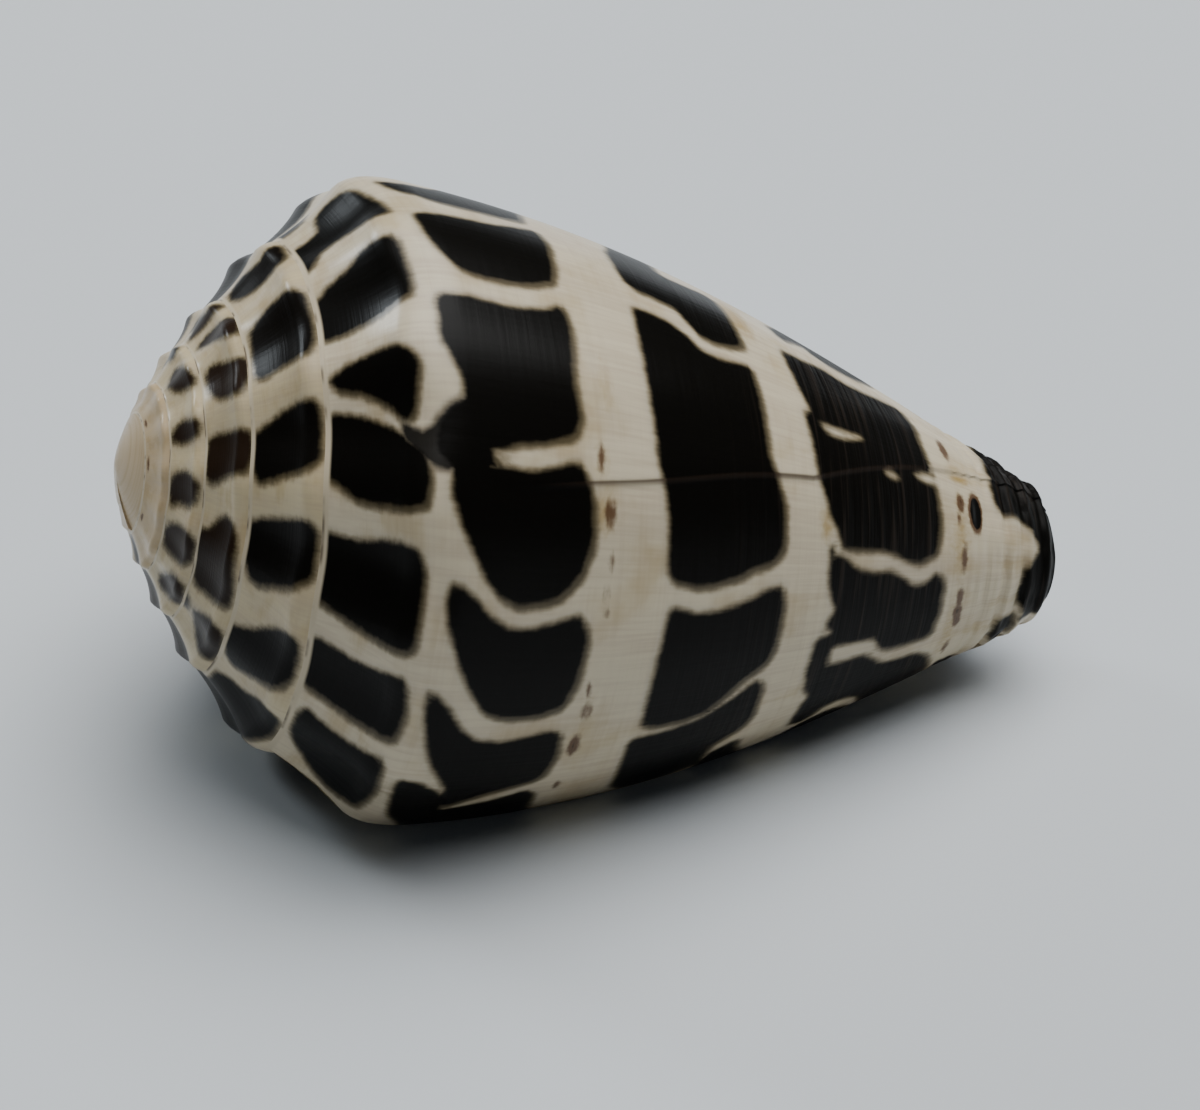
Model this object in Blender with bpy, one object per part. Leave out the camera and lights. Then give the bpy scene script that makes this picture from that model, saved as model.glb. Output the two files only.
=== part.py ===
# Cone shell lying on its opening: one piece, grown as a widening spiral.
# Metres, +Z up, apex towards -X, base end towards +X, back of the shell towards the photographer at -Y.

import math

import bmesh
import bpy
import numpy as np
from mathutils import Matrix, Vector

OBJECT_NAME = "cone_shell"
MM = 0.001

# Growth of the shell, counted in turns back from the first lip: radius of the shoulder
# and its distance from the apex along the axis, both in millimetres.
GROWTH_TURNS = (-7.5, -6.0, -5.0, -4.0, -3.0, -2.0, -1.5, -1.0, -0.5, 0.0)
SHOULDER_RADIUS = (0.75, 1.7, 2.8, 4.3, 6.2, 8.4, 9.9, 11.5, 13.0, 14.3)
SHOULDER_DEPTH = (0.4, 0.75, 1.25, 2.0, 3.1, 4.6, 5.7, 7.2, 8.75, 11.3)

# Where the shell starts and where the outer lip ends, in turns.
FIRST_TURN = -5.01
LIP_TURN = -0.01

# Length from apex to base end at the lip, and where the older, level part of the base end lies.
LENGTH = 42.0
OLDER_LENGTH = 40.5
LENGTH_TURNS = 0.55

# Rounding of the shoulder as a share of its radius, hollow of the ramp, swelling of the side.
SHOULDER_ROUND = 0.107
RAMP_HOLLOW = 0.24
SIDE_SWELL = 0.145
SIDE_SWELL_SKEW = -0.042
SIDE_SWELL_FLAT = -0.023

# Radius of the base end at the lip and at the inner end of the columella, and its rounding.
TIP_RADIUS = 2.95
COLUMELLA_RADIUS = 1.55
TIP_ROUND = 0.4
BASE_CENTRE = 39.7

# Low knobs along the shoulder: how many in a turn and their height as a share of the radius.
KNOBS_PER_TURN = 13
KNOB_SHARE = 0.016

# Raised spiral cords at the base end.
CORD_START = 0.83
CORD_COUNT = 5
CORD_HEIGHT = 0.2

# Growth scar across the back: turn at which it meets the shoulder, its lean and its step.
SCAR_TURN = -0.243
SCAR_LEAN = -0.05
SCAR_STEP = 0.09

# Aperture: lip thickness, wall thickness further in, and how far in the slot winds, in turns.
LIP_THICKNESS = 0.45
WALL_THICKNESS = 1.0
WALL_RAMP_TURNS = 0.1
SLOT_TURNS = 0.62

# Worn apex: depth to which the first whorls are rubbed down.
APEX_DEPTH = 0.45

# Resting attitude: roll about the shell's axis, and how far the base end points down, in degrees.
AXIS_ROLL = -32.9
AXIS_PITCH = 13.2

# Height, in millimetres, up to which the belly and the lip are worn flat where the shell lies.
REST_FLAT = 0.13

# Columns in one turn and rows of the cross-section.
COLUMNS = 65
RAMP_ROWS = (0.0, 0.12, 0.5, 0.85)
CORNER_ROWS = (0.0, 0.5)
PLAIN_ROWS = (0.0, 0.09, 0.2, 0.32, 0.44, 0.56, 0.67, 0.76, CORD_START)
APEX_RINGS = 3


def through(knots, values, at):
    """Smooth curve through the values at the knots, read at one or more places."""
    knots = np.asarray(knots, float)
    values = np.asarray(values, float)
    slopes = np.gradient(values, knots)
    at = np.asarray(at, float)
    index = np.clip(np.searchsorted(knots, at) - 1, 0, len(knots) - 2)
    step = knots[index + 1] - knots[index]
    share = (at - knots[index]) / step
    cube = share**3
    square = share**2
    start = values[index] * (2 * cube - 3 * square + 1)
    start_slope = slopes[index] * step * (cube - 2 * square + share)
    end = values[index + 1] * (3 * square - 2 * cube)
    end_slope = slopes[index + 1] * step * (cube - square)
    return start + start_slope + end + end_slope


def smooth(value):
    """Soft step from nought to one."""
    value = min(max(value, 0.0), 1.0)
    return value * value * (3 - 2 * value)


def shoulder(turn):
    """Radius and depth of the shoulder at a growth turn."""
    radius = float(through(GROWTH_TURNS, SHOULDER_RADIUS, turn))
    depth = float(through(GROWTH_TURNS, SHOULDER_DEPTH, turn))
    return radius, depth


def tip_radius(turn):
    """Radius of the base end, narrower on the older part that became the columella."""
    share = smooth((turn + 1.55) / 0.95)
    return COLUMELLA_RADIUS + (TIP_RADIUS - COLUMELLA_RADIUS) * share


def base_depth(turn):
    """Distance from the apex to the base end, longest at the lip."""
    return OLDER_LENGTH + (LENGTH - OLDER_LENGTH) * smooth((turn + LENGTH_TURNS) / LENGTH_TURNS)


def corner(turn, share):
    """Point of the rounded shoulder, from the end of the ramp to the start of the side."""
    radius, depth = shoulder(turn)
    bend = SHOULDER_ROUND * radius
    start = (radius - 0.55 * bend, depth - 0.25 * bend)
    middle = (radius, depth + 0.15 * bend)
    end = (radius - 0.05 * bend, depth + 1.4 * bend)
    rest = 1 - share
    point = [rest * rest * start[k] + 2 * share * rest * middle[k] + share * share * end[k] for k in (0, 1)]
    knob = KNOB_SHARE * radius * math.cos(2 * math.pi * KNOBS_PER_TURN * turn)
    knob *= smooth((turn + 5.5) / 1.5)
    weight = 1.0 - 0.75 * share
    return point[0] + knob * weight, point[1] - 0.6 * knob * weight


def ramp(turn, share):
    """Point of the ramp, from the suture out to the shoulder."""
    start = corner(turn - 1, 0.5)
    end = corner(turn, 0.0)
    radius, _ = shoulder(turn)
    hollow = RAMP_HOLLOW * radius / 14.0 * 4 * share * (1 - share)
    return (
        start[0] + (end[0] - start[0]) * share,
        start[1] + (end[1] - start[1]) * share + hollow,
    )


def cord(share, turn):
    """Height of the spiral cords at a place on the side."""
    if share < CORD_START:
        return 0.0
    place = (share - CORD_START) / (1 - CORD_START) * CORD_COUNT
    ridge = 0.5 - 0.5 * math.cos(2 * math.pi * place)
    return CORD_HEIGHT * ridge * smooth((share - CORD_START) / 0.08) * smooth((turn + 1.3) / 0.3)


def side(turn, share):
    """Point of the side, from below the shoulder to the base end."""
    start = corner(turn, 1.0)
    end_radius = tip_radius(turn)
    end_depth = base_depth(turn)
    across = 2 * share - 1
    swell = SIDE_SWELL + SIDE_SWELL_SKEW * across + SIDE_SWELL_FLAT * across * across
    fall = start[0] - end_radius
    radius = start[0] - fall * share + fall * (1 - across * across) * swell
    radius += cord(share, turn) - TIP_ROUND * smooth((share - 0.975) / 0.025)
    radius += scar(turn) * smooth(share / 0.15)
    return radius, start[1] + (end_depth - start[1]) * share


def scar(turn):
    """Step left on the side where growth once stopped and began again."""
    past = turn - SCAR_TURN
    if past < 0:
        return 0.0
    return -SCAR_STEP * (1 - smooth(past / 0.12))


def leaning(turn, share):
    """Growth turn at which a place on the side really lies: columns beside the scar lean with it."""
    near = 1 - smooth(abs(turn - SCAR_TURN) / 0.18)
    return turn + SCAR_LEAN * share * near


def place(turn, point):
    """Millimetre position of a radius and depth at a growth turn, axis along +X."""
    angle = 2 * math.pi * turn + math.pi + math.radians(-3.9)
    radius, depth = point
    return Vector((depth, -radius * math.sin(angle), radius * math.cos(angle)))


def turns():
    """Growth turns of all columns, the lip last, with a narrow pair at the scar."""
    count = round((LIP_TURN - FIRST_TURN) * COLUMNS)
    plain = [LIP_TURN - (count - k) / COLUMNS for k in range(count + 1)]
    result = []
    for turn in plain:
        phase = (turn - SCAR_TURN + 0.5) % 1.0 - 0.5
        half = 0.5 / COLUMNS
        if abs(phase) <= half:
            turn -= phase + 0.0006
        elif half < phase <= 3 * half:
            turn -= phase - 0.0014
        result.append(turn)
    return result


def cord_rows():
    """Rows of the side that follow the crests and hollows of the cords, and the rounded end."""
    step = (1 - CORD_START) / CORD_COUNT / 2
    rows = [CORD_START + step * k for k in range(1, 2 * CORD_COUNT)]
    return rows + [1.0]


class Shell:
    """Closed mesh of the shell, grown column by column."""

    def __init__(self):
        self.mesh = bmesh.new()
        self.turns = turns()
        self.last = len(self.turns) - 1
        self.slot = round(SLOT_TURNS * COLUMNS)
        self.side_rows = list(PLAIN_ROWS) + cord_rows()
        self.outer = []
        self.inner = {}

    def vertex(self, turn, point):
        return self.mesh.verts.new(place(turn, point))

    def face(self, corners):
        distinct = []
        for vertex in corners:
            if vertex not in distinct:
                distinct.append(vertex)
        if len(distinct) > 2:
            self.mesh.faces.new(distinct)

    def grow(self):
        """Columns of the ramp and shoulder, then of the side where the last whorl shows or bounds the slot."""
        first_side = self.last - COLUMNS - self.slot
        for index, turn in enumerate(self.turns):
            column = []
            if index >= COLUMNS:
                column.append(self.outer[index - COLUMNS][len(RAMP_ROWS) + 1])
            else:
                column.append(self.vertex(turn, ramp(turn, 0.0)))
            column += [self.vertex(turn, ramp(turn, share)) for share in RAMP_ROWS[1:]]
            column += [self.vertex(turn, corner(turn, share)) for share in CORNER_ROWS]
            if index >= first_side:
                for share in self.side_rows:
                    real = leaning(turn, share)
                    column.append(self.vertex(real, side(turn, share)))
            self.outer.append(column)

    def skin(self):
        """Faces of the spire, the last whorl and the older whorl inside the slot."""
        shoulder_row = len(RAMP_ROWS) + 1
        for index in range(self.last):
            near, far = self.outer[index], self.outer[index + 1]
            for row in range(shoulder_row):
                self.face((near[row], far[row], far[row + 1], near[row + 1]))
            inside = index < self.last - COLUMNS
            first = shoulder_row + 1 if inside else shoulder_row
            if index >= self.last - COLUMNS - self.slot:
                for row in range(first, len(near) - 1):
                    self.face((near[row], far[row], far[row + 1], near[row + 1]))

    def wall(self):
        """Inner face of the last whorl's wall, from the lip back to the blind end of the slot."""
        top = len(RAMP_ROWS) + 2
        for index in range(self.last - self.slot, self.last + 1):
            turn = self.turns[index]
            back = self.turns[self.last] - turn
            thick = LIP_THICKNESS + (WALL_THICKNESS - LIP_THICKNESS) * smooth(back / WALL_RAMP_TURNS)
            column = [self.outer[index - COLUMNS][top]]
            points = [ramp(turn, 0.5), ramp(turn, 0.97)]
            rows = [turn, turn]
            for share in self.side_rows:
                points.append(side(turn, share))
                rows.append(leaning(turn, share))
            smoothed = self.offset(points, thick)
            column += [self.vertex(row, point) for row, point in zip(rows, smoothed)]
            self.inner[index] = column
        for index in range(self.last - self.slot, self.last):
            near, far = self.inner[index], self.inner[index + 1]
            for row in range(len(near) - 1):
                self.face((far[row], near[row], near[row + 1], far[row + 1]))
            near_rim, far_rim = self.outer[index][-1], self.outer[index + 1][-1]
            self.face((near_rim, far_rim, far[-1], near[-1]))

    def offset(self, points, thick):
        """The points moved inwards by a wall's thickness, never past a share of their radius."""
        moved = []
        for index, point in enumerate(points):
            before = points[max(index - 1, 0)]
            after = points[min(index + 1, len(points) - 1)]
            along = Vector((after[0] - before[0], after[1] - before[1])).normalized()
            inward = min(thick, 0.3 * point[0])
            flat = 0.0 if index == len(points) - 1 else 1.0
            moved.append((point[0] - inward * along[1], point[1] + inward * along[0] * flat))
        return moved

    def lip(self):
        """Narrow end face of the outer lip."""
        outer, inner = self.outer[self.last], self.inner[self.last]
        top = len(RAMP_ROWS) + 2
        self.face((outer[0], outer[1], inner[0]))
        self.face((outer[1], outer[2], inner[1], inner[0]))
        self.face((outer[2], outer[3], inner[1]))
        self.face((outer[3], outer[4], inner[2], inner[1]))
        self.face((outer[4], outer[5], inner[2]))
        self.face((outer[5], outer[6], inner[3], inner[2]))
        for row in range(top, len(outer) - 1):
            shift = row - top + 3
            self.face((outer[row], outer[row + 1], inner[shift + 1], inner[shift]))

    def blind_end(self):
        """End of the slot deep inside the last whorl."""
        wall = self.inner[self.last - self.slot]
        older = self.outer[self.last - self.slot - COLUMNS]
        top = len(RAMP_ROWS) + 2
        self.face((wall[0], wall[1], older[top + 1]))
        self.face((wall[1], wall[2], older[top + 1]))
        self.face((wall[2], wall[3], older[top + 1]))
        for row in range(3, len(wall) - 1):
            step = top + row - 3
            if row == 3:
                self.face((wall[3], wall[4], older[top + 1]))
            else:
                self.face((wall[row], wall[row + 1], older[step + 1], older[step]))

    def base(self):
        """Closed end of the columella at the base."""
        start = self.last - COLUMNS - self.slot
        middle = self.mesh.verts.new(Vector((BASE_CENTRE, 0.0, 0.0)))
        for index in range(start, start + COLUMNS):
            self.face((self.outer[index][-1], self.outer[index + 1][-1], middle))
        wall = self.inner[self.last - self.slot]
        outer = self.outer[self.last - self.slot]
        self.face((outer[-1], wall[-1], middle))
        self.face((wall[-1], self.outer[start][-1], middle))

    def apex(self):
        """Worn cap over the first whorls."""
        loop = [self.outer[index][0] for index in range(COLUMNS)]
        start = self.outer[0]
        loop += [start[row] for row in range(len(RAMP_ROWS) + 1, 0, -1)]
        rims = [vertex.co.copy() for vertex in loop]
        outline = loop
        for ring in range(1, APEX_RINGS + 1):
            share = 1 - ring / (APEX_RINGS + 1)
            new = []
            for rim in rims:
                depth = APEX_DEPTH + (rim.x - APEX_DEPTH) * share * share
                new.append(self.mesh.verts.new(Vector((depth, rim.y * share, rim.z * share))))
            for index in range(len(new)):
                after = (index + 1) % len(new)
                self.face((new[index], new[after], outline[after], outline[index]))
            outline = new
        top = self.mesh.verts.new(Vector((APEX_DEPTH, 0.0, 0.0)))
        for index in range(len(outline)):
            after = (index + 1) % len(outline)
            self.face((outline[index], top, outline[after]))


def attitude():
    """Turn from the axis frame to the resting attitude."""
    roll = Matrix.Rotation(math.radians(AXIS_ROLL), 4, "X")
    pitch = Matrix.Rotation(math.radians(AXIS_PITCH), 4, "Y")
    return pitch @ roll


def wear(mesh):
    """Lowest parts rubbed level, so that the shell lies steadily."""
    level = min(vertex.co.z for vertex in mesh.verts) + REST_FLAT
    for vertex in mesh.verts:
        vertex.co.z = max(vertex.co.z, level)


def settle(mesh):
    """Shell moved so that it stands on the floor with the middle of its box over the origin."""
    points = np.array([vertex.co for vertex in mesh.verts])
    low, high = points.min(axis=0), points.max(axis=0)
    shift = Vector((-(low[0] + high[0]) / 2, -(low[1] + high[1]) / 2, -low[2]))
    bmesh.ops.translate(mesh, vec=shift, verts=mesh.verts)


def shell_material():
    """Plain glossy shell finish."""
    material = bpy.data.materials.new("shell_porcelain")
    material.use_nodes = True
    shader = material.node_tree.nodes["Principled BSDF"]
    shader.inputs["Base Color"].default_value = (0.62, 0.55, 0.48, 1.0)
    shader.inputs["Roughness"].default_value = 0.35
    return material


def main():
    """Clear the scene and build the shell."""
    for item in list(bpy.data.objects):
        bpy.data.objects.remove(item)
    collection = bpy.data.collections.new(OBJECT_NAME)
    bpy.context.scene.collection.children.link(collection)

    shell = Shell()
    shell.grow()
    shell.skin()
    shell.wall()
    shell.lip()
    shell.blind_end()
    shell.base()
    shell.apex()
    mesh = shell.mesh
    bmesh.ops.triangulate(mesh, faces=mesh.faces)
    bmesh.ops.recalc_face_normals(mesh, faces=mesh.faces)
    bmesh.ops.transform(mesh, matrix=attitude(), verts=mesh.verts)
    wear(mesh)
    settle(mesh)
    bmesh.ops.scale(mesh, vec=Vector((MM, MM, MM)), verts=mesh.verts)

    data = bpy.data.meshes.new(OBJECT_NAME)
    mesh.to_mesh(data)
    mesh.free()
    data.materials.append(shell_material())
    body = bpy.data.objects.new(OBJECT_NAME, data)
    collection.objects.link(body)


main()
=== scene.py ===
"""Looks of a cone shell that lies on its opening: surface, colour pattern, floor, light and camera.

Lengths are millimetres in the shell's own frame and metres in the shared frame. A place on the
shell is given by its growth turn (nought at the lip, falling towards the apex) and its place on
the profile (nought at the suture, RAMP_END and CORNER_END around the shoulder, one at the base).
"""

import logging
import math
from collections.abc import Callable
from dataclasses import dataclass, field
from enum import Enum

import bmesh
import bpy
import numpy as np
from mathutils import Matrix, Vector


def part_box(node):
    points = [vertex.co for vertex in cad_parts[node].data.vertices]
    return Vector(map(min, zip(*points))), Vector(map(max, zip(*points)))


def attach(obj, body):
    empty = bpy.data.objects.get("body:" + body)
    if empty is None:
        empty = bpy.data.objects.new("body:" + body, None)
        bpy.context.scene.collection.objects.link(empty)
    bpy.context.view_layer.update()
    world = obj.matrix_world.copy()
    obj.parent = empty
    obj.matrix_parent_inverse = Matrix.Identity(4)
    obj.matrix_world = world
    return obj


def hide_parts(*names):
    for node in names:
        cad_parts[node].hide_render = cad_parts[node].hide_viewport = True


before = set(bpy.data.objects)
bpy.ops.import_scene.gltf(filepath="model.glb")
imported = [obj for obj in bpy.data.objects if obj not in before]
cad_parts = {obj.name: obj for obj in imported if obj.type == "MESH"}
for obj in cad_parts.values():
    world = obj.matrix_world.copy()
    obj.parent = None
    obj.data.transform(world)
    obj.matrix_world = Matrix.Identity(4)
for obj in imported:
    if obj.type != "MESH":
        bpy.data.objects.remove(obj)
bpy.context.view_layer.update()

logging.basicConfig(level=logging.INFO, format="%(message)s")
LOG = logging.getLogger("cone_shell")

Array = np.ndarray
Pair = tuple[float, float]
Outline = tuple[Pair, ...]
Colour = tuple[float, float, float, float]
Socket = bpy.types.NodeSocket
Source = Socket | float | Colour
Feeds = dict[str | int, Source]

MM = 0.001
CAD_NODE = "cone_shell"
BODY = "root"

# Profile places where the ramp ends and where the rounded shoulder ends.
RAMP_END = 0.2
CORNER_END = 0.28
# Share of the rounded shoulder at which the next whorl joins it.
SUTURE_SHARE = 0.5
# Distance, in millimetres, that stands for far away from any mark.
FAR = 3.0
# Number, above that of any point, from which the suture's own marks are counted.
SUTURE_MARKS = 10**7
# Middle value of a noise.
NOISE_MIDDLE = 0.5


class Layer(Enum):
    """Face-corner attributes that carry the growth frame and the markings to the finish."""

    TURN = "growth_turn"
    PLACE = "profile_place"
    BLOCK = "block_distance"
    LATE = "late_distance"
    GREY = "grey_distance"
    BROWN = "brown_mark"
    YELLOW = "yellow_stain"
    SCAR = "scar_line"
    INSIDE = "inside"


class Area(Enum):
    """Lower and upper corner of each stretch of the surface on the flat map."""

    BODY = ((0.0, 0.0), (1.0, 0.55))
    CROWN = ((0.0, 0.56), (1.0, 0.615))
    HIDDEN_SIDE = ((0.0, 0.81), (0.6, 0.88))
    HIDDEN_EDGE = ((0.602, 0.81), (0.606, 0.88))
    WALL = ((0.0, 0.89), (0.6, 0.97))
    RIM = ((0.0, 0.975), (0.6, 0.98))
    LIP = ((0.61, 0.81), (0.63, 0.97))
    BLIND_END = ((0.64, 0.81), (0.67, 0.97))
    BASE = ((0.68, 0.82), (0.78, 0.92))
    APEX = ((0.80, 0.82), (0.98, 0.98))

    def at(self, across: float, along: float) -> Pair:
        """Place on the flat map of a share of the area's width and height."""
        low, high = self.value
        return low[0] + (high[0] - low[0]) * across, low[1] + (high[1] - low[1]) * along


def smooth(value: Array | float) -> Array:
    """Soft step from nought to one.

    Args:
        value: Share, clipped to 0..1.

    Returns:
        The eased share.
    """
    clipped = np.clip(value, 0.0, 1.0)
    return clipped * clipped * (3 - 2 * clipped)


def through(knots: tuple[float, ...], values: tuple[float, ...], where: Array) -> Array:
    """Smooth curve through values at knots.

    Args:
        knots: Rising places of the values.
        values: Value at each knot.
        where: Places to read.

    Returns:
        The curve at each place.
    """
    knot = np.asarray(knots, float)
    value = np.asarray(values, float)
    slope = np.gradient(value, knot)
    index = np.clip(np.searchsorted(knot, where) - 1, 0, len(knot) - 2)
    step = knot[index + 1] - knot[index]
    share = (where - knot[index]) / step
    square, cube = share**2, share**3
    return (
        value[index] * (2 * cube - 3 * square + 1)
        + slope[index] * step * (cube - 2 * square + share)
        + value[index + 1] * (3 * square - 2 * cube)
        + slope[index + 1] * step * (cube - square)
    )


def wave(cycles: Array) -> Array:
    """Sine of a number of whole waves."""
    return np.sin(2 * np.pi * cycles)


@dataclass(frozen=True)
class Growth:
    """Sizes and curves of the widening spiral, in millimetres, turns and shares of a stretch.

    In its methods, turn is the growth turn of each point and share is how far along the stretch
    in question it lies, from nought to one. They give radius and depth, the distance from the
    apex along the axis.
    """

    turns: tuple[float, ...] = (-7.5, -6.0, -5.0, -4.0, -3.0, -2.0, -1.5, -1.0, -0.5, 0.0)
    radii: tuple[float, ...] = (0.75, 1.7, 2.8, 4.3, 6.2, 8.4, 9.9, 11.5, 13.0, 14.3)
    depths: tuple[float, ...] = (0.4, 0.75, 1.25, 2.0, 3.1, 4.6, 5.7, 7.2, 8.75, 11.3)
    first_turn: float = -5.01
    lip_turn: float = -0.01
    start_angle: float = math.pi + math.radians(-3.9)
    apex_depth: float = 0.45
    apex_curve: float = 1.5
    # Shoulder and ramp: control points of the shoulder's bend in shares of its size.
    shoulder_round: float = 0.107
    bend_out: tuple[float, float, float] = (-0.55, 0.0, -0.05)
    bend_down: tuple[float, float, float] = (-0.25, 0.15, 1.4)
    ramp_hollow: float = 0.24
    hollow_radius: float = 14.0
    knobs_per_turn: int = 13
    knob_share: float = 0.016
    knob_first_turn: float = -5.5
    knob_grow_turns: float = 1.5
    knob_fade: float = 0.75
    knob_sink: float = 0.6
    # Side, down to the base end.
    length: float = 42.0
    older_length: float = 40.5
    length_turns: float = 0.55
    swell: float = 0.145
    swell_skew: float = -0.042
    swell_flat: float = -0.023
    tip_radius: float = 2.95
    columella_radius: float = 1.55
    tip_first_turn: float = -1.55
    tip_turns: float = 0.95
    tip_round: float = 0.4
    tip_round_start: float = 0.975
    base_centre: float = 39.7
    base_curve: float = 3.0
    # Spiral cords of the base end, and the wear and fine ridges across them.
    cord_start: float = 0.83
    cord_count: int = 5
    cord_height: float = 0.2
    cord_fade: float = 0.08
    cord_first_turn: float = -1.3
    cord_turns: float = 0.3
    gnarl_start: float = 0.78
    gnarl_fade: float = 0.12
    gnarl_count: int = 12
    gnarl_depth: float = 0.04
    gnarl_waves: tuple[Pair, ...] = ((17.0, 3.1), (29.0, -7.0))
    gnarl_wave_share: float = 0.35
    wear_wave: Pair = (5.0, 9.0)
    wear_start: float = 0.86
    wear_fade: float = 0.08
    wear_share: float = 1.1
    # Growth scar.
    scar_turn: float = -0.243
    scar_step: float = 0.09
    scar_fade: float = 0.12
    scar_top: float = 0.15
    scar_lean: float = -0.05
    scar_lean_turns: float = 0.2
    scar_bend: float = -0.145
    scar_bend_start: float = 0.55
    scar_rise: float = 0.006
    scar_rise_share: float = 0.1
    scar_fall_start: float = 0.25
    scar_fall_share: float = 0.25
    # Wall of the last whorl and the slot under it.
    lip_thickness: float = 0.45
    wall_thickness: float = 1.0
    wall_ramp_turns: float = 0.1
    wall_most: float = 0.3
    slot_turns: float = 0.62

    def shoulder(self, turn: Array) -> tuple[Array, Array]:
        """Radius and depth of the shoulder at growth turns."""
        return through(self.turns, self.radii, turn), through(self.turns, self.depths, turn)

    def end_radius(self, turn: Array) -> Array:
        """Radius of the base end, narrower on the older part."""
        share = smooth((turn - self.tip_first_turn) / self.tip_turns)
        return self.columella_radius + (self.tip_radius - self.columella_radius) * share

    def end_depth(self, turn: Array) -> Array:
        """Distance from the apex to the base end."""
        share = smooth((turn + self.length_turns) / self.length_turns)
        return self.older_length + (self.length - self.older_length) * share

    def corner(self, turn: Array, share: Array) -> tuple[Array, Array]:
        """Point of the rounded shoulder with its knobs.

        Args:
            turn: Growth turns.
            share: Nought at the end of the ramp, one at the start of the side.

        Returns:
            Radius and depth.
        """
        radius, depth = self.shoulder(turn)
        bend = self.shoulder_round * radius
        rest = 1 - share
        weights = (rest * rest, 2 * share * rest, share * share)
        out = sum(weight * (radius + step * bend) for weight, step in zip(weights, self.bend_out))
        down = sum(weight * (depth + step * bend) for weight, step in zip(weights, self.bend_down))
        knob = self.knob_share * radius * np.cos(2 * np.pi * self.knobs_per_turn * turn)
        knob = knob * smooth((turn - self.knob_first_turn) / self.knob_grow_turns)
        knob = knob * (1 - self.knob_fade * share)
        return out + knob, down - self.knob_sink * knob

    def ramp(self, turn: Array, share: Array) -> tuple[Array, Array]:
        """Point of the hollow ramp.

        Args:
            turn: Growth turns.
            share: Nought at the suture, one at the shoulder.

        Returns:
            Radius and depth.
        """
        inner, inner_depth = self.corner(turn - 1, np.full_like(turn, SUTURE_SHARE))
        outer, outer_depth = self.corner(turn, np.zeros_like(turn))
        hollow = self.ramp_hollow * self.shoulder(turn)[0] / self.hollow_radius * 4 * share * (1 - share)
        return inner + (outer - inner) * share, inner_depth + (outer_depth - inner_depth) * share + hollow

    def cord(self, turn: Array, share: Array) -> Array:
        """Height of the spiral cords at the base end.

        Args:
            turn: Growth turns.
            share: Nought at the shoulder, one at the base end.

        Returns:
            Millimetres above the side.
        """
        past = share - self.cord_start
        ridge = 0.5 - 0.5 * np.cos(2 * np.pi * past / (1 - self.cord_start) * self.cord_count)
        grown = smooth((turn - self.cord_first_turn) / self.cord_turns)
        return self.cord_height * ridge * smooth(past / self.cord_fade) * grown

    def gnarl(self, turn: Array, share: Array) -> Array:
        """Fine ridges and wear of the base end, cut into the cords.

        Args:
            turn: Growth turns.
            share: Nought at the shoulder, one at the base end.

        Returns:
            Millimetres above the side, nought or less.
        """
        past = share - self.gnarl_start
        ridge = np.cos(2 * np.pi * self.gnarl_count * past / (1 - self.gnarl_start))
        uneven = sum(wave(around * turn + down * share) for around, down in self.gnarl_waves)
        worn = wave(self.wear_wave[0] * turn + self.wear_wave[1] * share)
        worn = worn * smooth((share - self.wear_start) / self.wear_fade)
        cut = (ridge - 1) * (1 + self.gnarl_wave_share * uneven) + (worn - 1) * self.wear_share
        return self.gnarl_depth * smooth(past / self.gnarl_fade) * cut

    def scar(self, turn: Array) -> Array:
        """Step on the side where growth once stopped."""
        past = turn - self.scar_turn
        return np.where(past < 0, 0.0, -self.scar_step * (1 - smooth(past / self.scar_fade)))

    def side(self, turn: Array, share: Array) -> tuple[Array, Array]:
        """Point of the long side.

        Args:
            turn: Growth turns.
            share: Nought below the shoulder, one at the base end.

        Returns:
            Radius and depth.
        """
        start, start_depth = self.corner(turn, np.ones_like(turn))
        across = 2 * share - 1
        swell = self.swell + self.swell_skew * across + self.swell_flat * across * across
        fall = start - self.end_radius(turn)
        radius = start - fall * share + fall * (1 - across * across) * swell
        rounded = smooth((share - self.tip_round_start) / (1 - self.tip_round_start))
        radius = radius + self.cord(turn, share) - self.tip_round * rounded
        radius = radius + self.scar(turn) * smooth(share / self.scar_top) + self.gnarl(turn, share)
        return radius, start_depth + (self.end_depth(turn) - start_depth) * share

    def profile(self, turn: Array, place: Array) -> tuple[Array, Array]:
        """Radius and depth of the whole outside.

        Args:
            turn: Growth turns.
            place: Profile places.

        Returns:
            Radius and depth.
        """
        flat = self.ramp(turn, np.clip(place / RAMP_END, 0, 1))
        bend = self.corner(turn, np.clip((place - RAMP_END) / (CORNER_END - RAMP_END), 0, 1))
        long = self.side(turn, np.clip((place - CORNER_END) / (1 - CORNER_END), 0, 1))
        picks = (place < RAMP_END, place < CORNER_END)
        return tuple(np.select(picks, (flat[index], bend[index]), long[index]) for index in (0, 1))

    def scar_path(self, share: Array) -> Array:
        """How the scar strays from its start at the shoulder.

        Args:
            share: Nought at the shoulder, one at the base end.

        Returns:
            Turns from the scar's own turn.
        """
        fall = smooth((share - self.scar_fall_start) / self.scar_fall_share)
        rise = self.scar_rise * smooth(share / self.scar_rise_share) * (1 - fall)
        bend = self.scar_bend * np.maximum(share - self.scar_bend_start, 0)
        return self.scar_lean * share + bend + rise

    def leaning(self, turn: Array, share: Array) -> Array:
        """Growth turn at which a place on the side really lies, beside the leaning scar."""
        near = 1 - smooth(np.abs(turn - self.scar_turn) / self.scar_lean_turns)
        return turn + self.scar_path(share) * near

    def position(self, turn: Array, radius: Array, depth: Array) -> Array:
        """Millimetre points, axis along +X, of radii and depths at growth turns."""
        angle = 2 * np.pi * turn + self.start_angle
        return np.stack([depth, -radius * np.sin(angle), radius * np.cos(angle)], axis=-1)

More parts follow.
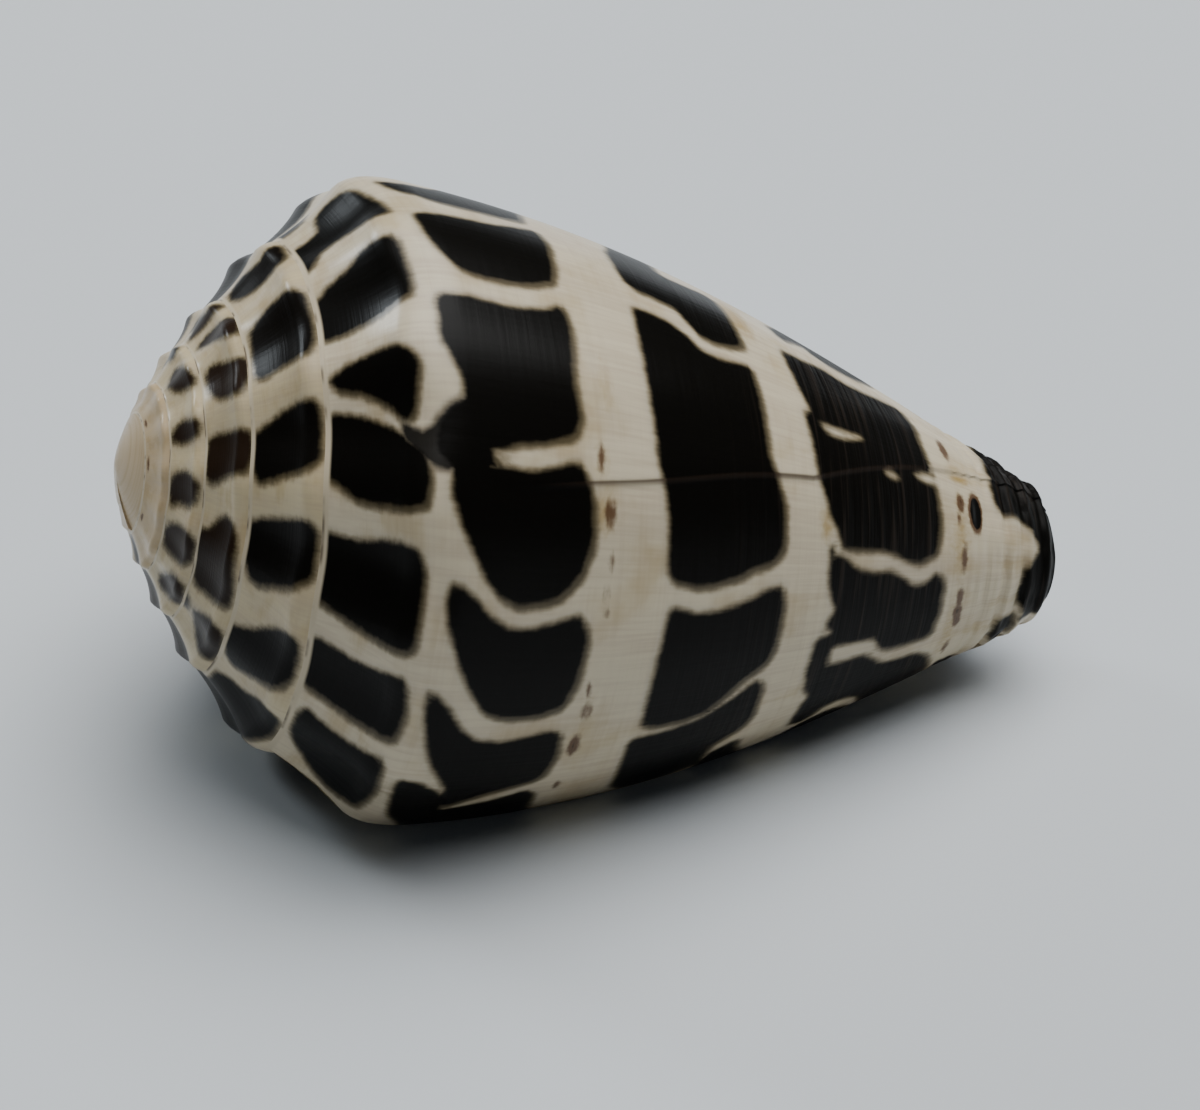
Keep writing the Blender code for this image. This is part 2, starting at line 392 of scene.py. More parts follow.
    def offset(self, radius: Array, depth: Array, thick: Array) -> tuple[Array, Array]:
        """Profile points moved inwards by the wall's thickness, never past a share of the radius.

        Args:
            radius: Radii, columns by rows.
            depth: Depths of the same points.
            thick: Thickness of the wall at each column.

        Returns:
            Radius and depth of the inner side, level with the outer one at the base end.
        """
        along_radius = np.gradient(radius, axis=1)
        along_depth = np.gradient(depth, axis=1)
        length = np.hypot(along_radius, along_depth)
        inward = np.minimum(thick, self.wall_most * radius)
        level = np.ones(radius.shape[1])
        level[-1] = 0.0
        out = radius - inward * along_depth / length
        return out, depth + inward * along_radius / length * level


@dataclass(frozen=True)
class Attitude:
    """How the shell lies: roll about its axis, dip of the base end, and what is rubbed level."""

    roll: float = -32.9
    pitch: float = 13.2
    rest_flat: float = 0.13

    def matrix(self) -> Array:
        """Turn from the shell's frame to the resting attitude.

        Returns:
            Three by three numbers.
        """
        roll = Matrix.Rotation(math.radians(self.roll), 3, "X")
        pitch = Matrix.Rotation(math.radians(self.pitch), 3, "Y")
        return np.array(pitch @ roll)

    def lay(self, points: Array) -> tuple[Array, Array]:
        """Points turned to rest, rubbed level below and brought into the solid's box.

        Args:
            points: Millimetre points in the shell's frame.

        Returns:
            Metre points in the shared frame, and the millimetre shift that brought them there.
        """
        turned = points @ self.matrix().T
        level = turned[:, 2].min() + self.rest_flat
        turned[:, 2] = np.maximum(turned[:, 2], level)
        low, high = (np.array(corner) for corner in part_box(CAD_NODE))
        middle = (turned.min(axis=0) + turned.max(axis=0)) / 2
        shift = (low + high) / 2 / MM - middle
        shift[2] = low[2] / MM - level
        return np.clip((turned + shift) * MM, low, high), shift


@dataclass
class Patch:
    """Faces of the shell, their places on the flat map and the marks of their corners."""

    faces: list[tuple[int, ...]] = field(default_factory=list)
    flat: list[Pair] = field(default_factory=list)
    sources: list[int] = field(default_factory=list)

    def grid(self, ids: Array, low: Pair, high: Pair, sources: Array | None = None) -> None:
        """Four-sided faces over a grid of points.

        Args:
            ids: Point numbers, columns by rows.
            low: Lower corner on the flat map.
            high: Upper corner on the flat map.
            sources: Numbers of the marks to use, where they aren't the points' own.
        """
        marks = ids if sources is None else sources
        across = np.linspace(low[0], high[0], ids.shape[0])
        along = np.linspace(low[1], high[1], ids.shape[1])
        for column in range(ids.shape[0] - 1):
            for row in range(ids.shape[1] - 1):
                spots = [(column, row), (column + 1, row), (column + 1, row + 1), (column, row + 1)]
                self.faces.append(tuple(int(ids[spot]) for spot in spots))
                self.flat += [(across[right], along[up]) for right, up in spots]
                self.sources += [int(marks[spot]) for spot in spots]

    def stitch(self, left: list[int], right: list[int], area: Area) -> None:
        """Three-sided faces between two lines of points with unlike counts.

        Args:
            left: Point numbers of the first line.
            right: Point numbers of the second line.
            area: Area on the flat map.
        """
        lefts, rights = max(len(left) - 1, 1), max(len(right) - 1, 1)
        first, second = 0, 0
        while first < len(left) - 1 or second < len(right) - 1:
            corners = [(left[first], 0.0, first / lefts), (right[second], 1.0, second / rights)]
            left_next = first < len(left) - 1 and (first + 1) / lefts <= (second + 1) / rights
            if second >= len(right) - 1 or left_next:
                first += 1
                corners.append((left[first], 0.0, first / lefts))
            else:
                second += 1
                corners.append((right[second], 1.0, second / rights))
            self.triangle(corners, area)

    def triangle(self, corners: list[tuple[int, float, float]], area: Area) -> None:
        """One three-sided face, left out where two of its corners are one point.

        Args:
            corners: Point number and shares of the area's width and height, for each corner.
            area: Area on the flat map.
        """
        numbers = tuple(corner[0] for corner in corners)
        if len(set(numbers)) < 3:
            return
        self.faces.append(numbers)
        self.sources += numbers
        self.flat += [area.at(across, along) for _, across, along in corners]

    def ring(self, outer: list[int], inner: list[int], edges: Pair, area: Area) -> None:
        """Faces between two rings of a round closing.

        Args:
            outer: Point numbers of the outer ring.
            inner: Point numbers of the inner ring, or the middle point repeated.
            edges: Radius of the outer and of the inner ring, in shares of the area.
            area: Area on the flat map.
        """
        count = len(outer)
        angles = [2 * math.pi * index / count for index in range(count + 1)]
        for index in range(count):
            after = (index + 1) % count
            spots = []
            for radius in edges:
                for angle in angles[index : index + 2]:
                    spots.append((0.5 + radius * math.cos(angle), 0.5 + radius * math.sin(angle)))
            near = (outer[index], *spots[0])
            far = (inner[after], *spots[3])
            self.triangle([near, (outer[after], *spots[1]), far], area)
            self.triangle([near, far, (inner[index], *spots[2])], area)


@dataclass(frozen=True)
class Closing:
    """A round closing of rings, from a rim to a point on the axis."""

    centre: float
    curve: float
    rings: int
    area: Area
    middle_marks: tuple[float, float, float]

    def share(self, ring: int) -> float:
        """Size of a ring, numbered from nought at the rim, in shares of the rim's."""
        return 1 - ring / (self.rings + 1)

    def same_marks(self, points: Array, share: float) -> Array:
        """The middle's marks for every point of a ring of any size."""
        return np.tile(self.middle_marks, (len(points), 1))

    def edges(self, ring: int) -> Pair:
        """Radii on the flat map of the ring before this one and of this one."""
        reach = 0.5 / (self.rings + 1)
        return 0.5 - reach * (ring - 1), 0.5 - reach * ring


@dataclass
class ShellSurface:
    """The whole shell as one closed, dense surface."""

    growth: Growth = field(default_factory=Growth)
    attitude: Attitude = field(default_factory=Attitude)
    columns: int = 360
    ramp_rows: int = 12
    crown_rows: int = 4
    lower_rows: int = 4
    side_rows: int = 76
    base_rows: int = 54
    base_start: float = 0.8
    hidden_rows: int = 20
    older_whorls: int = 4
    whorl_pitch: float = 0.06
    apex_rings: int = 8
    apex_place: float = 0.1
    base_rings: int = 7
    base_turn: float = -1.0
    base_shade: float = 0.35
    wall_starts: tuple[float, ...] = (0.5, 0.65, 0.8, 0.97)
    scar_sides: Pair = (-0.0006, 0.0014)
    sharp_angle: float = 48.0

    def __post_init__(self) -> None:
        """Lay out columns and empty stores."""
        self.points: list[Array] = []
        self.marks: list[Array] = []
        self.count = 0
        self.turns = self.column_turns()
        self.last = len(self.turns) - 1
        self.slot = round(self.growth.slot_turns * self.columns)
        self.patch = Patch()
        self.shift = np.zeros(3)

    def column_turns(self) -> Array:
        """Growth turns of the columns, the lip last, with a narrow pair at the scar.

        Returns:
            One turn for each column.
        """
        growth = self.growth
        count = round((growth.lip_turn - growth.first_turn) * self.columns)
        turns = growth.lip_turn - (count - np.arange(count + 1)) / self.columns
        phase = (turns - growth.scar_turn + 0.5) % 1.0 - 0.5
        half = 0.5 / self.columns
        before, after = self.scar_sides
        turns = np.where(np.abs(phase) <= half, turns - phase + before, turns)
        return np.where((phase > half) & (phase <= 3 * half), turns - phase + after, turns)

    def store(self, points: Array, marks: Array) -> Array:
        """Points with their marks, added to the surface.

        Args:
            points: Millimetre points in the shell's frame.
            marks: Rows of growth turn, profile place and inside.

        Returns:
            Numbers of the points.
        """
        self.points.append(points)
        self.marks.append(marks)
        self.count += len(points)
        return np.arange(self.count - len(points), self.count)

    def add(self, turn: Array, place: Array, shape: tuple[Array, Array], inside: float = 0.0) -> Array:
        """Points of one batch.

        Args:
            turn: Growth turns where the points lie.
            place: Profile places.
            shape: Radii and depths.
            inside: One on the inner side of the wall.

        Returns:
            Point numbers in the batch's shape.
        """
        turn, place, radius, depth = np.broadcast_arrays(turn, place, *shape)
        marks = np.stack([turn.ravel(), place.ravel(), np.full(turn.size, inside)], axis=1)
        points = self.growth.position(turn, radius, depth).reshape(-1, 3)
        return self.store(points, marks).reshape(turn.shape)

    def bend_points(self, turn: Array, share: Array) -> Array:
        """Points of the rounded shoulder for some columns and rows.

        Args:
            turn: Growth turns of the columns.
            share: Shares of the shoulder, one for each row.

        Returns:
            Point numbers, columns by rows.
        """
        wide = np.broadcast_to(turn[:, None], (len(turn), len(share)))
        shape = self.growth.corner(wide, np.broadcast_to(share, wide.shape))
        return self.add(wide, RAMP_END + (CORNER_END - RAMP_END) * share, shape)

    def side_points(self, turn: Array, share: Array, inside: float) -> Array:
        """Points of the side for some columns and rows.

        Args:
            turn: Growth turns of the columns.
            share: Shares of the side, one for each row.
            inside: One where the points lie inside the slot.

        Returns:
            Point numbers, columns by rows.
        """
        wide = np.broadcast_to(turn[:, None], (len(turn), len(share)))
        place = CORNER_END + (1 - CORNER_END) * share
        return self.add(self.growth.leaning(wide, share), place, self.growth.side(wide, share), inside)

    def grow_crown(self) -> None:
        """Ramp and shoulder of every whorl, each joined to the one before it at the suture."""
        growth = self.growth
        flat = np.arange(1, self.ramp_rows) / self.ramp_rows
        rise = np.broadcast_to(self.turns[:, None], (len(self.turns), len(flat)))
        ramp = self.add(rise, RAMP_END * flat, growth.ramp(rise, flat))
        crown = self.bend_points(self.turns, np.linspace(0, SUTURE_SHARE, self.crown_rows))
        first = self.turns[: self.columns]
        start = self.add(first, np.zeros_like(first), growth.ramp(first, np.zeros_like(first)))
        suture = np.concatenate([start, crown[: len(self.turns) - self.columns, -1]])
        self.crown = np.concatenate([suture[:, None], ramp, crown], axis=1)
        self.crown_marks = self.crown.copy()
        self.crown_marks[:, 0] = np.arange(len(self.turns)) + SUTURE_MARKS

    def grow_side(self) -> None:
        """Side of the last whorl and, more coarsely, of the older whorl inside the slot."""
        start = self.last - self.columns
        shown = self.turns[start:]
        lower = self.bend_points(shown, np.linspace(SUTURE_SHARE, 1, self.lower_rows + 1)[1:])
        fine = np.linspace(0, self.base_start, self.side_rows + 1)[1:]
        fine = np.concatenate([fine, np.linspace(self.base_start, 1, self.base_rows + 1)[1:]])
        self.side = np.concatenate([lower, self.side_points(shown, fine, 0.0)], axis=1)
        self.coarse = np.linspace(0, 1, self.hidden_rows)
        self.older = self.side_points(self.turns[start - self.slot : start], self.coarse, 1.0)

    def grow_wall(self) -> None:
        """Inner side of the last whorl's wall, from the blind end of the slot to the lip."""
        growth = self.growth
        turn = self.turns[self.last - self.slot :]
        back = self.turns[self.last] - turn
        thick = growth.lip_thickness
        thick = thick + (growth.wall_thickness - thick) * smooth(back / growth.wall_ramp_turns)
        real = [turn for _ in self.wall_starts] + [growth.leaning(turn, share) for share in self.coarse]
        place = [RAMP_END * share for share in self.wall_starts]
        place += [CORNER_END + (1 - CORNER_END) * share for share in self.coarse]
        rows = [growth.ramp(turn, np.full_like(turn, share)) for share in self.wall_starts]
        rows += [growth.side(turn, np.full_like(turn, share)) for share in self.coarse]
        radius, depth = (np.stack(column, axis=1) for column in zip(*rows))
        moved = growth.offset(radius, depth, thick[:, None])
        wall = self.add(np.stack(real, axis=1), np.array(place), moved, 1.0)
        joined = np.concatenate([self.older[:, 0], self.side[:1, self.lower_rows - 1]])
        self.wall = np.concatenate([joined[-len(turn) :, None], wall], axis=1)

    def close(self) -> None:
        """Faces of the outside, the slot, the lip, the base end and the apex."""
        patch = self.patch
        last, columns, slot = self.last, self.columns, self.slot
        low, high = Area.CROWN.value
        for whorl in range(self.older_whorls):
            up = whorl * self.whorl_pitch
            span = slice(whorl * columns, (whorl + 1) * columns + 1)
            corners = (low[0], low[1] + up), (high[0], high[1] + up)
            patch.grid(self.crown[span], *corners, self.crown_marks[span])
        body = np.concatenate([self.crown[last - columns :], self.side], axis=1)
        sources = np.concatenate([self.crown_marks[last - columns :], self.side], axis=1)
        patch.grid(body, *Area.BODY.value, sources)
        patch.grid(self.older, *Area.HIDDEN_SIDE.value)
        start = self.lower_rows - 1
        patch.stitch(self.older[-1].tolist(), self.side[0, start:].tolist(), Area.HIDDEN_EDGE)
        patch.grid(self.wall, *Area.WALL.value)
        rim = np.stack([self.side[columns - slot :, -1], self.wall[:, -1]], axis=1)
        patch.grid(rim, *Area.RIM.value)
        under = body[0, self.crown.shape[1] - 1 : self.crown.shape[1] + start].tolist()
        patch.stitch(body[-1].tolist(), under + self.wall[-1].tolist(), Area.LIP)
        patch.stitch(self.wall[0].tolist(), self.older[0].tolist(), Area.BLIND_END)
        self.close_base()
        self.close_apex()

    def close_base(self) -> None:
        """Hollow, rounded end of the columella, in rings towards the axis."""
        growth = self.growth
        rim = self.older[:, -1].tolist() + self.side[: self.columns - self.slot + 1, -1].tolist()
        rim.append(int(self.wall[0, -1]))
        marks = (self.base_turn, 1.0, self.base_shade)
        closing = Closing(growth.base_centre, growth.base_curve, self.base_rings, Area.BASE, marks)
        self.close_round(rim, closing, closing.same_marks)

    def close_apex(self) -> None:
        """Worn cap over the first whorls."""
        growth = self.growth
        marks = (growth.first_turn - 1, self.apex_place, 0.0)
        rim = self.crown[: self.columns, 0].tolist() + self.crown[0, :0:-1].tolist()
        closing = Closing(growth.apex_depth, growth.apex_curve, self.apex_rings, Area.APEX, marks)
        self.close_round(rim, closing, self.apex_marks)

    def apex_marks(self, points: Array, share: float) -> Array:
        """Marks of one ring of the cap, as if the spiral went on to the middle.

        Args:
            points: Millimetre points of the ring.
            share: Size of the ring, in shares of the rim's.

        Returns:
            Rows of growth turn, profile place and inside.
        """
        growth = self.growth
        angles = (np.arctan2(-points[:, 1], points[:, 2]) - growth.start_angle) / (2 * np.pi)
        turns = growth.first_turn - 1 + share + angles % 1.0
        return np.stack([turns, np.full_like(turns, self.apex_place), np.zeros_like(turns)], axis=1)

    def close_round(
        self, outline: list[int], closing: Closing, marks: Callable[[Array, float], Array]
    ) -> None:
        """Rings of faces from an open rim in to the axis.

        Args:
            outline: Point numbers of the rim.
            closing: Sizes of the closing.
            marks: Gives the marks of a ring's points.
        """
        rim = np.concatenate(self.points)[outline]
        for ring in range(1, closing.rings + 1):
            share = closing.share(ring)
            depth = closing.centre + (rim[:, 0] - closing.centre) * share**closing.curve
            points = np.stack([depth, rim[:, 1] * share, rim[:, 2] * share], axis=1)
            inner = self.store(points, marks(points, share)).tolist()
            self.patch.ring(outline, inner, closing.edges(ring), closing.area)
            outline = inner
        middle = self.store(np.array([[closing.centre, 0.0, 0.0]]), np.array([closing.middle_marks]))
        edges = closing.edges(closing.rings + 1)
        self.patch.ring(outline, middle.tolist() * len(outline), edges, closing.area)

    def build(self) -> bpy.types.Object:
        """Mesh of the whole shell in the shared frame.

        Returns:
            The new object, with its growth frame and markings as face-corner attributes.
        """
        self.grow_crown()
        self.grow_side()
        self.grow_wall()
        self.close()
        points, self.shift = self.attitude.lay(np.concatenate(self.points))
        mesh = bpy.data.meshes.new("cone_shell_skin")
        mesh.from_pydata(points.tolist(), [], self.patch.faces)
        layer = mesh.uv_layers.new(name="OFBake")
        layer.data.foreach_set("uv", np.array(self.patch.flat, np.float32).ravel())
        Markings(self.growth).write(mesh, *self.corner_marks(len(points)))
        self.turn_out(mesh)
        mesh.shade_smooth()
        mesh.set_sharp_from_angle(angle=math.radians(self.sharp_angle))
        shell = bpy.data.objects.new("cone_shell_skin", mesh)
        bpy.context.scene.collection.objects.link(shell)
        return shell

    def corner_marks(self, count: int) -> tuple[Array, Array]:
        """Marks of all points and of the suture, and which of them each face corner uses.

        Args:
            count: Number of points.

        Returns:
            Rows of growth turn, profile place and inside; and a row number for each corner.
        """
        suture = np.stack([self.turns, np.zeros_like(self.turns), np.zeros_like(self.turns)], axis=1)
        marks = np.concatenate(self.marks + [suture])
        sources = np.array(self.patch.sources)
        return marks, np.where(sources >= SUTURE_MARKS, sources - SUTURE_MARKS + count, sources)

    def turn_out(self, mesh: bpy.types.Mesh) -> None:
        """All faces of a closed mesh turned outwards.

        Args:
            mesh: Mesh of the shell.
        """
        work = bmesh.new()
        work.from_mesh(mesh)
        bmesh.ops.recalc_face_normals(work, faces=work.faces)
        work.to_mesh(mesh)
        work.free()

    def dress(self, shell: bpy.types.Object) -> None:
        """Finish, and what the piece stands for in the frame.

        Args:
            shell: The shell's object.
        """
        shell.data.materials.append(ShellFinish().material())
        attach(shell, BODY)
        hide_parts(CAD_NODE)


def traced(*outlines: Outline, whorl: int = 0) -> tuple[Outline, ...]:
    """Outlines from thousandths of a profile place and of a turn, so many whorls before the last.

    Args:
        *outlines: Rounds of profile place and growth turn.
        whorl: Whole turns to take off.

    Returns:
        The outlines in units of profile place and growth turn.
    """
    return tuple(
        tuple((place / 1000, turn / 1000 - whorl) for place, turn in outline) for outline in outlines
    )


# Outlines of the black blocks, read from the photograph. The first spiral row lies on the
# ramp, the fourth just above the base end.
ROW_ONE = traced(
    ((-20, -500), (110, -500), (90, -475), (60, -462), (-20, -460)),
    ((-20, -430), (40, -432), (80, -436), (85, -445), (100, -452), (130, -456), (180, -452), (210, -445),
     (230, -420), (235, -402), (200, -405), (170, -408), (100, -412), (50, -408), (20, -392), (-20, -388)),
    ((-10, -355), (20, -362), (50, -369), (100, -373), (150, -380), (200, -379), (230, -378), (232, -340),
     (200, -337), (150, -334), (100, -331), (50, -328), (10, -327), (-10, -330)),
    ((15, -297), (50, -304), (100, -307), (150, -309), (200, -308), (225, -303), (230, -297), (222, -287),
     (212, -271), (190, -270), (160, -277), (120, -283), (80, -288), (30, -291)),
    ((2, -250), (4, -275), (40, -276), (100, -271), (150, -266), (190, -262), (235, -252), (240, -240),
     (235, -228), (200, -226), (100, -226), (60, -228), (40, -233), (6, -238)),
    ((4, -180), (4, -205), (40, -203), (80, -203), (130, -206), (180, -207), (225, -206), (235, -195),
     (235, -160), (228, -156), (180, -155), (130, -156), (80, -158), (40, -161), (6, -164)),
    ((5, -120), (10, -138), (50, -137), (100, -134), (150, -135), (200, -138), (230, -140), (236, -120),
     (232, -101), (200, -99), (130, -97), (80, -98), (40, -100), (8, -102)),
    ((18, -55), (20, -75), (30, -85), (60, -82), (100, -80), (150, -81), (190, -83), (228, -87),
     (232, -60), (226, -33), (220, -24), (180, -19), (140, -18), (100, -21), (60, -30), (30, -40)),
)
ROW_TWO = traced(
    ((250, -447), (270, -445), (310, -449), (330, -460), (310, -475), (285, -490), (280, -510),
     (400, -510), (410, -490), (405, -450), (395, -430), (360, -426), (300, -424), (265, -432)),
    ((265, -398), (300, -403), (350, -406), (390, -415), (405, -418), (408, -400), (402, -375),
     (395, -363), (370, -357), (340, -355), (310, -355), (290, -358), (275, -370), (267, -385)),
    ((262, -337), (300, -338), (340, -336), (380, -340), (400, -346), (403, -330), (398, -300),
     (402, -280), (395, -270), (360, -264), (330, -262), (312, -255), (300, -245), (270, -246),
     (245, -255), (250, -268), (260, -275), (278, -280), (280, -290), (272, -300), (262, -310)),
    ((265, -250), (300, -250), (350, -248), (400, -256), (405, -250), (415, -240), (415, -215),
     (405, -200), (385, -188), (360, -184), (340, -183), (320, -187), (305, -195), (290, -207),
     (275, -222), (266, -235)),
    ((270, -193), (290, -187), (310, -177), (330, -171), (350, -170), (380, -173), (410, -178),
     (420, -165), (415, -140), (405, -125), (380, -120), (340, -120), (320, -125), (300, -140),
     (285, -155), (272, -170), (266, -182)),
    ((262, -137), (280, -128), (300, -112), (320, -104), (350, -102), (410, -108), (415, -90), (410, -72),
     (400, -66), (370, -60), (340, -52), (312, -42), (300, -50), (308, -66), (295, -78), (280, -90),
     (270, -105), (262, -120)),
    ((255, -75), (275, -73), (300, -62), (310, -50), (310, -35), (360, -42), (400, -53), (410, -45),
     (415, -20), (420, 10), (300, 10), (280, -15), (262, -30), (255, -50)),
)
ROW_THREE = traced(
    ((487, -400), (490, -425), (500, -440), (510, -460), (520, -490), (550, -510), (560, -470),
     (550, -445), (545, -430), (560, -425), (580, -425), (600, -428), (610, -425), (612, -390),
     (615, -365), (600, -360), (575, -357), (560, -359), (550, -370), (540, -378), (520, -380),
     (500, -381), (490, -385)),
    ((600, -505), (640, -505), (635, -485), (610, -482)),
    ((487, -362), (510, -361), (530, -358), (545, -352), (555, -344), (575, -341), (600, -343),
     (615, -345), (618, -320), (618, -280), (628, -265), (636, -250), (636, -220), (625, -210),
     (600, -205), (580, -199), (550, -195), (530, -195), (510, -198), (503, -203), (503, -230),
     (498, -250), (490, -262), (487, -290), (485, -320), (485, -345)),
    ((510, -182), (540, -177), (570, -178), (600, -184), (620, -190), (638, -193), (642, -180),
     (640, -150), (632, -137), (610, -127), (590, -113), (575, -105), (550, -101), (520, -101),
     (505, -103), (503, -120), (505, -150)),
    ((497, -92), (530, -93), (560, -96), (580, -100), (600, -108), (630, -123), (636, -115), (637, -85),
     (625, -72), (610, -65), (602, -60), (600, -45), (602, -25), (580, -18), (550, -16), (520, -17),
     (505, -30), (500, -60)),
    ((610, -43), (635, -55), (638, -40), (650, -20), (660, 10), (610, 10), (605, -20)),
)
ROW_FOUR = traced(
    ((680, -430), (700, -450), (720, -470), (730, -510), (810, -510), (810, -460), (800, -430),
     (770, -410), (740, -408), (725, -415), (720, -430), (700, -420), (685, -410)),
    ((672, -383), (700, -382), (715, -385), (730, -385), (745, -380), (760, -381), (780, -384),
     (800, -387), (820, -392), (825, -370), (822, -340), (826, -320), (829, -310), (833, -280),
     (835, -250), (833, -235), (830, -220), (810, -210), (795, -212), (780, -218), (760, -222),
     (720, -221), (710, -222), (705, -235), (695, -245), (690, -260), (682, -275), (680, -298),
     (675, -320), (685, -325), (680, -335), (675, -355)),
    ((695, -222), (700, -215), (715, -212), (730, -203), (750, -200), (770, -201), (790, -195),
     (800, -187), (815, -185), (825, -190), (835, -197), (843, -190), (843, -150), (838, -120),
     (780, -121), (766, -140), (740, -138), (715, -140), (712, -130), (690, -130), (692, -148),
     (712, -152), (700, -160), (710, -172), (698, -190)),
    ((692, -148), (710, -140), (710, -120), (730, -119), (760, -120), (775, -108), (790, -100),
     (830, -96), (845, -85), (855, -60), (860, -30), (862, 10), (790, 10), (785, -30), (775, -50),
     (760, -60), (745, -63), (730, -60), (720, -45), (710, -40), (700, -45), (698, -60), (700, -80),
     (705, -90), (695, -100), (690, -120)),
    ((705, -20), (720, -33), (740, -40), (760, -35), (775, -15), (780, 10), (700, 10)),
)
BASE_END = traced(
    ((930, -520), (935, -450), (925, -400), (915, -360), (915, -300), (922, -287), (940, -287),
     (955, -280), (965, -265), (975, -240), (972, -225), (963, -205), (955, -190), (952, -170),
     (950, -150), (952, -130), (960, -120), (965, -100), (960, -85), (1000, -80), (1080, -80),
     (1080, -520)),
    ((935, -105), (950, -100), (955, -70), (950, -30), (940, -30), (930, -60)),
    ((870, -40), (895, -35), (890, 5), (872, 5)),
    ((925, -1020), (930, -930), (940, -850), (928, -760), (935, -660), (925, -580), (930, -510),
     (1080, -510), (1080, -1020)),
)
SPIRE_ONE = traced(
    ((20, -445), (30, -455), (80, -463), (120, -455), (160, -448), (235, -450), (225, -425), (100, -428),
     (40, -435)),
    ((30, -370), (60, -376), (100, -380), (150, -380), (210, -376), (230, -370), (232, -330), (220, -320),
     (90, -320), (50, -317), (25, -320), (20, -340)),
    ((10, -270), (50, -276), (100, -283), (160, -286), (230, -286), (232, -250), (210, -243), (100, -237),
     (30, -230), (10, -240)),
    ((5, -195), (50, -201), (100, -204), (210, -209), (230, -205), (230, -175), (190, -166), (100, -157),
     (60, -151), (30, -153), (8, -165)),
    ((0, -95), (30, -100), (70, -107), (100, -115), (140, -124), (190, -130), (225, -130), (227, -100),
     (210, -90), (110, -73), (70, -62), (40, -54), (15, -65)),
    ((20, -20), (60, -30), (100, -33), (130, -40), (170, -55), (210, -62), (230, -58), (235, -30),
     (210, -10), (170, 15), (100, 25), (20, 20)),
    whorl=1,
)
SPIRE_TWO = traced(
    ((30, -455), (80, -470), (100, -500), (160, -500), (140, -470), (160, -457), (220, -452), (230, -442),
     (120, -447), (60, -452)),
    ((40, -420), (50, -425), (100, -427), (140, -423), (230, -412), (245, -400), (235, -380), (210, -379),
     (140, -393), (100, -403), (60, -412)),
    ((30, -355), (50, -363), (80, -363), (160, -352), (245, -346), (245, -330), (230, -315), (210, -310),
     (100, -314), (60, -322), (35, -335)),
    ((20, -270), (50, -274), (210, -274), (240, -272), (242, -250), (230, -238), (130, -234), (40, -223),
     (15, -230), (10, -250)),
    ((0, -168), (40, -170), (70, -178), (100, -188), (140, -192), (190, -190), (215, -180), (220, -155),
     (228, -130), (225, -112), (140, -105), (30, -100), (10, -110)),
    ((60, -65), (90, -72), (130, -80), (180, -87), (230, -85), (240, -70), (240, -40), (230, -30),
     (180, -25), (130, -30), (90, -43)),
    ((0, -80), (30, -70), (30, -55), (0, -50)),
    whorl=2,
)
SPIRE_THREE = traced(
    ((40, -400), (80, -420), (120, -425), (150, -415), (180, -390), (220, -365), (210, -355), (110, -365),
     (70, -375)),
    ((10, -285), (50, -300), (100, -305), (150, -300), (220, -295), (210, -280), (80, -275)),
    ((10, -200), (30, -220), (70, -228), (120, -230), (170, -228), (220, -220), (210, -200), (170, -190),
     (70, -187), (30, -178)),
    ((15, -130), (50, -147), (100, -155), (210, -158), (235, -150), (230, -125), (190, -110), (80, -102),
     (30, -103)),
    ((70, -30), (100, -60), (140, -80), (190, -88), (230, -85), (240, -60), (240, -45), (180, -35),
     (90, -18)),
    whorl=3,
)
BLOCKS = ROW_ONE + ROW_TWO + ROW_THREE + ROW_FOUR + BASE_END
BLOCKS += SPIRE_ONE + SPIRE_TWO + SPIRE_THREE
# White fingers, wedges and spots that cut into the blocks.
WHITE_GAPS = traced(
    ((-20, -455), (80, -452), (85, -445), (80, -438), (-20, -435)),
    ((410, -268), (360, -262), (305, -257), (310, -253), (350, -251), (390, -257), (410, -260)),
    ((690, -318), (710, -318), (745, -319), (746, -316), (720, -309), (700, -309)),
    ((765, -292), (775, -297), (787, -290), (777, -286)),
    ((806, -300), (822, -306), (850, -304), (850, -296), (825, -293), (812, -295)),
    ((712, -140), (740, -139), (765, -138), (768, -124), (740, -120), (714, -122)),
    ((775, -117), (810, -118), (850, -112), (850, -98), (810, -100), (785, -103)),
)
# Smoky, see-through places where a block shows faintly through the glaze.
GREY_VEILS = traced(
    ((185, -270), (205, -267), (225, -263.5), (242, -266), (260, -277), (285, -283), (290, -255),
     (260, -244), (235, -249), (205, -257), (185, -264)),
    ((120, -3500), (200, -3480), (220, -3450), (140, -3450)),
    ((700, -470), (760, -470), (770, -455), (710, -450)),
)


@dataclass(frozen=True)
class Spot:
    """A small rounded mark: where it is, its half sizes in millimetres and its strength."""

    place: float
    turn: float
    across: float
    along: float
    strength: float


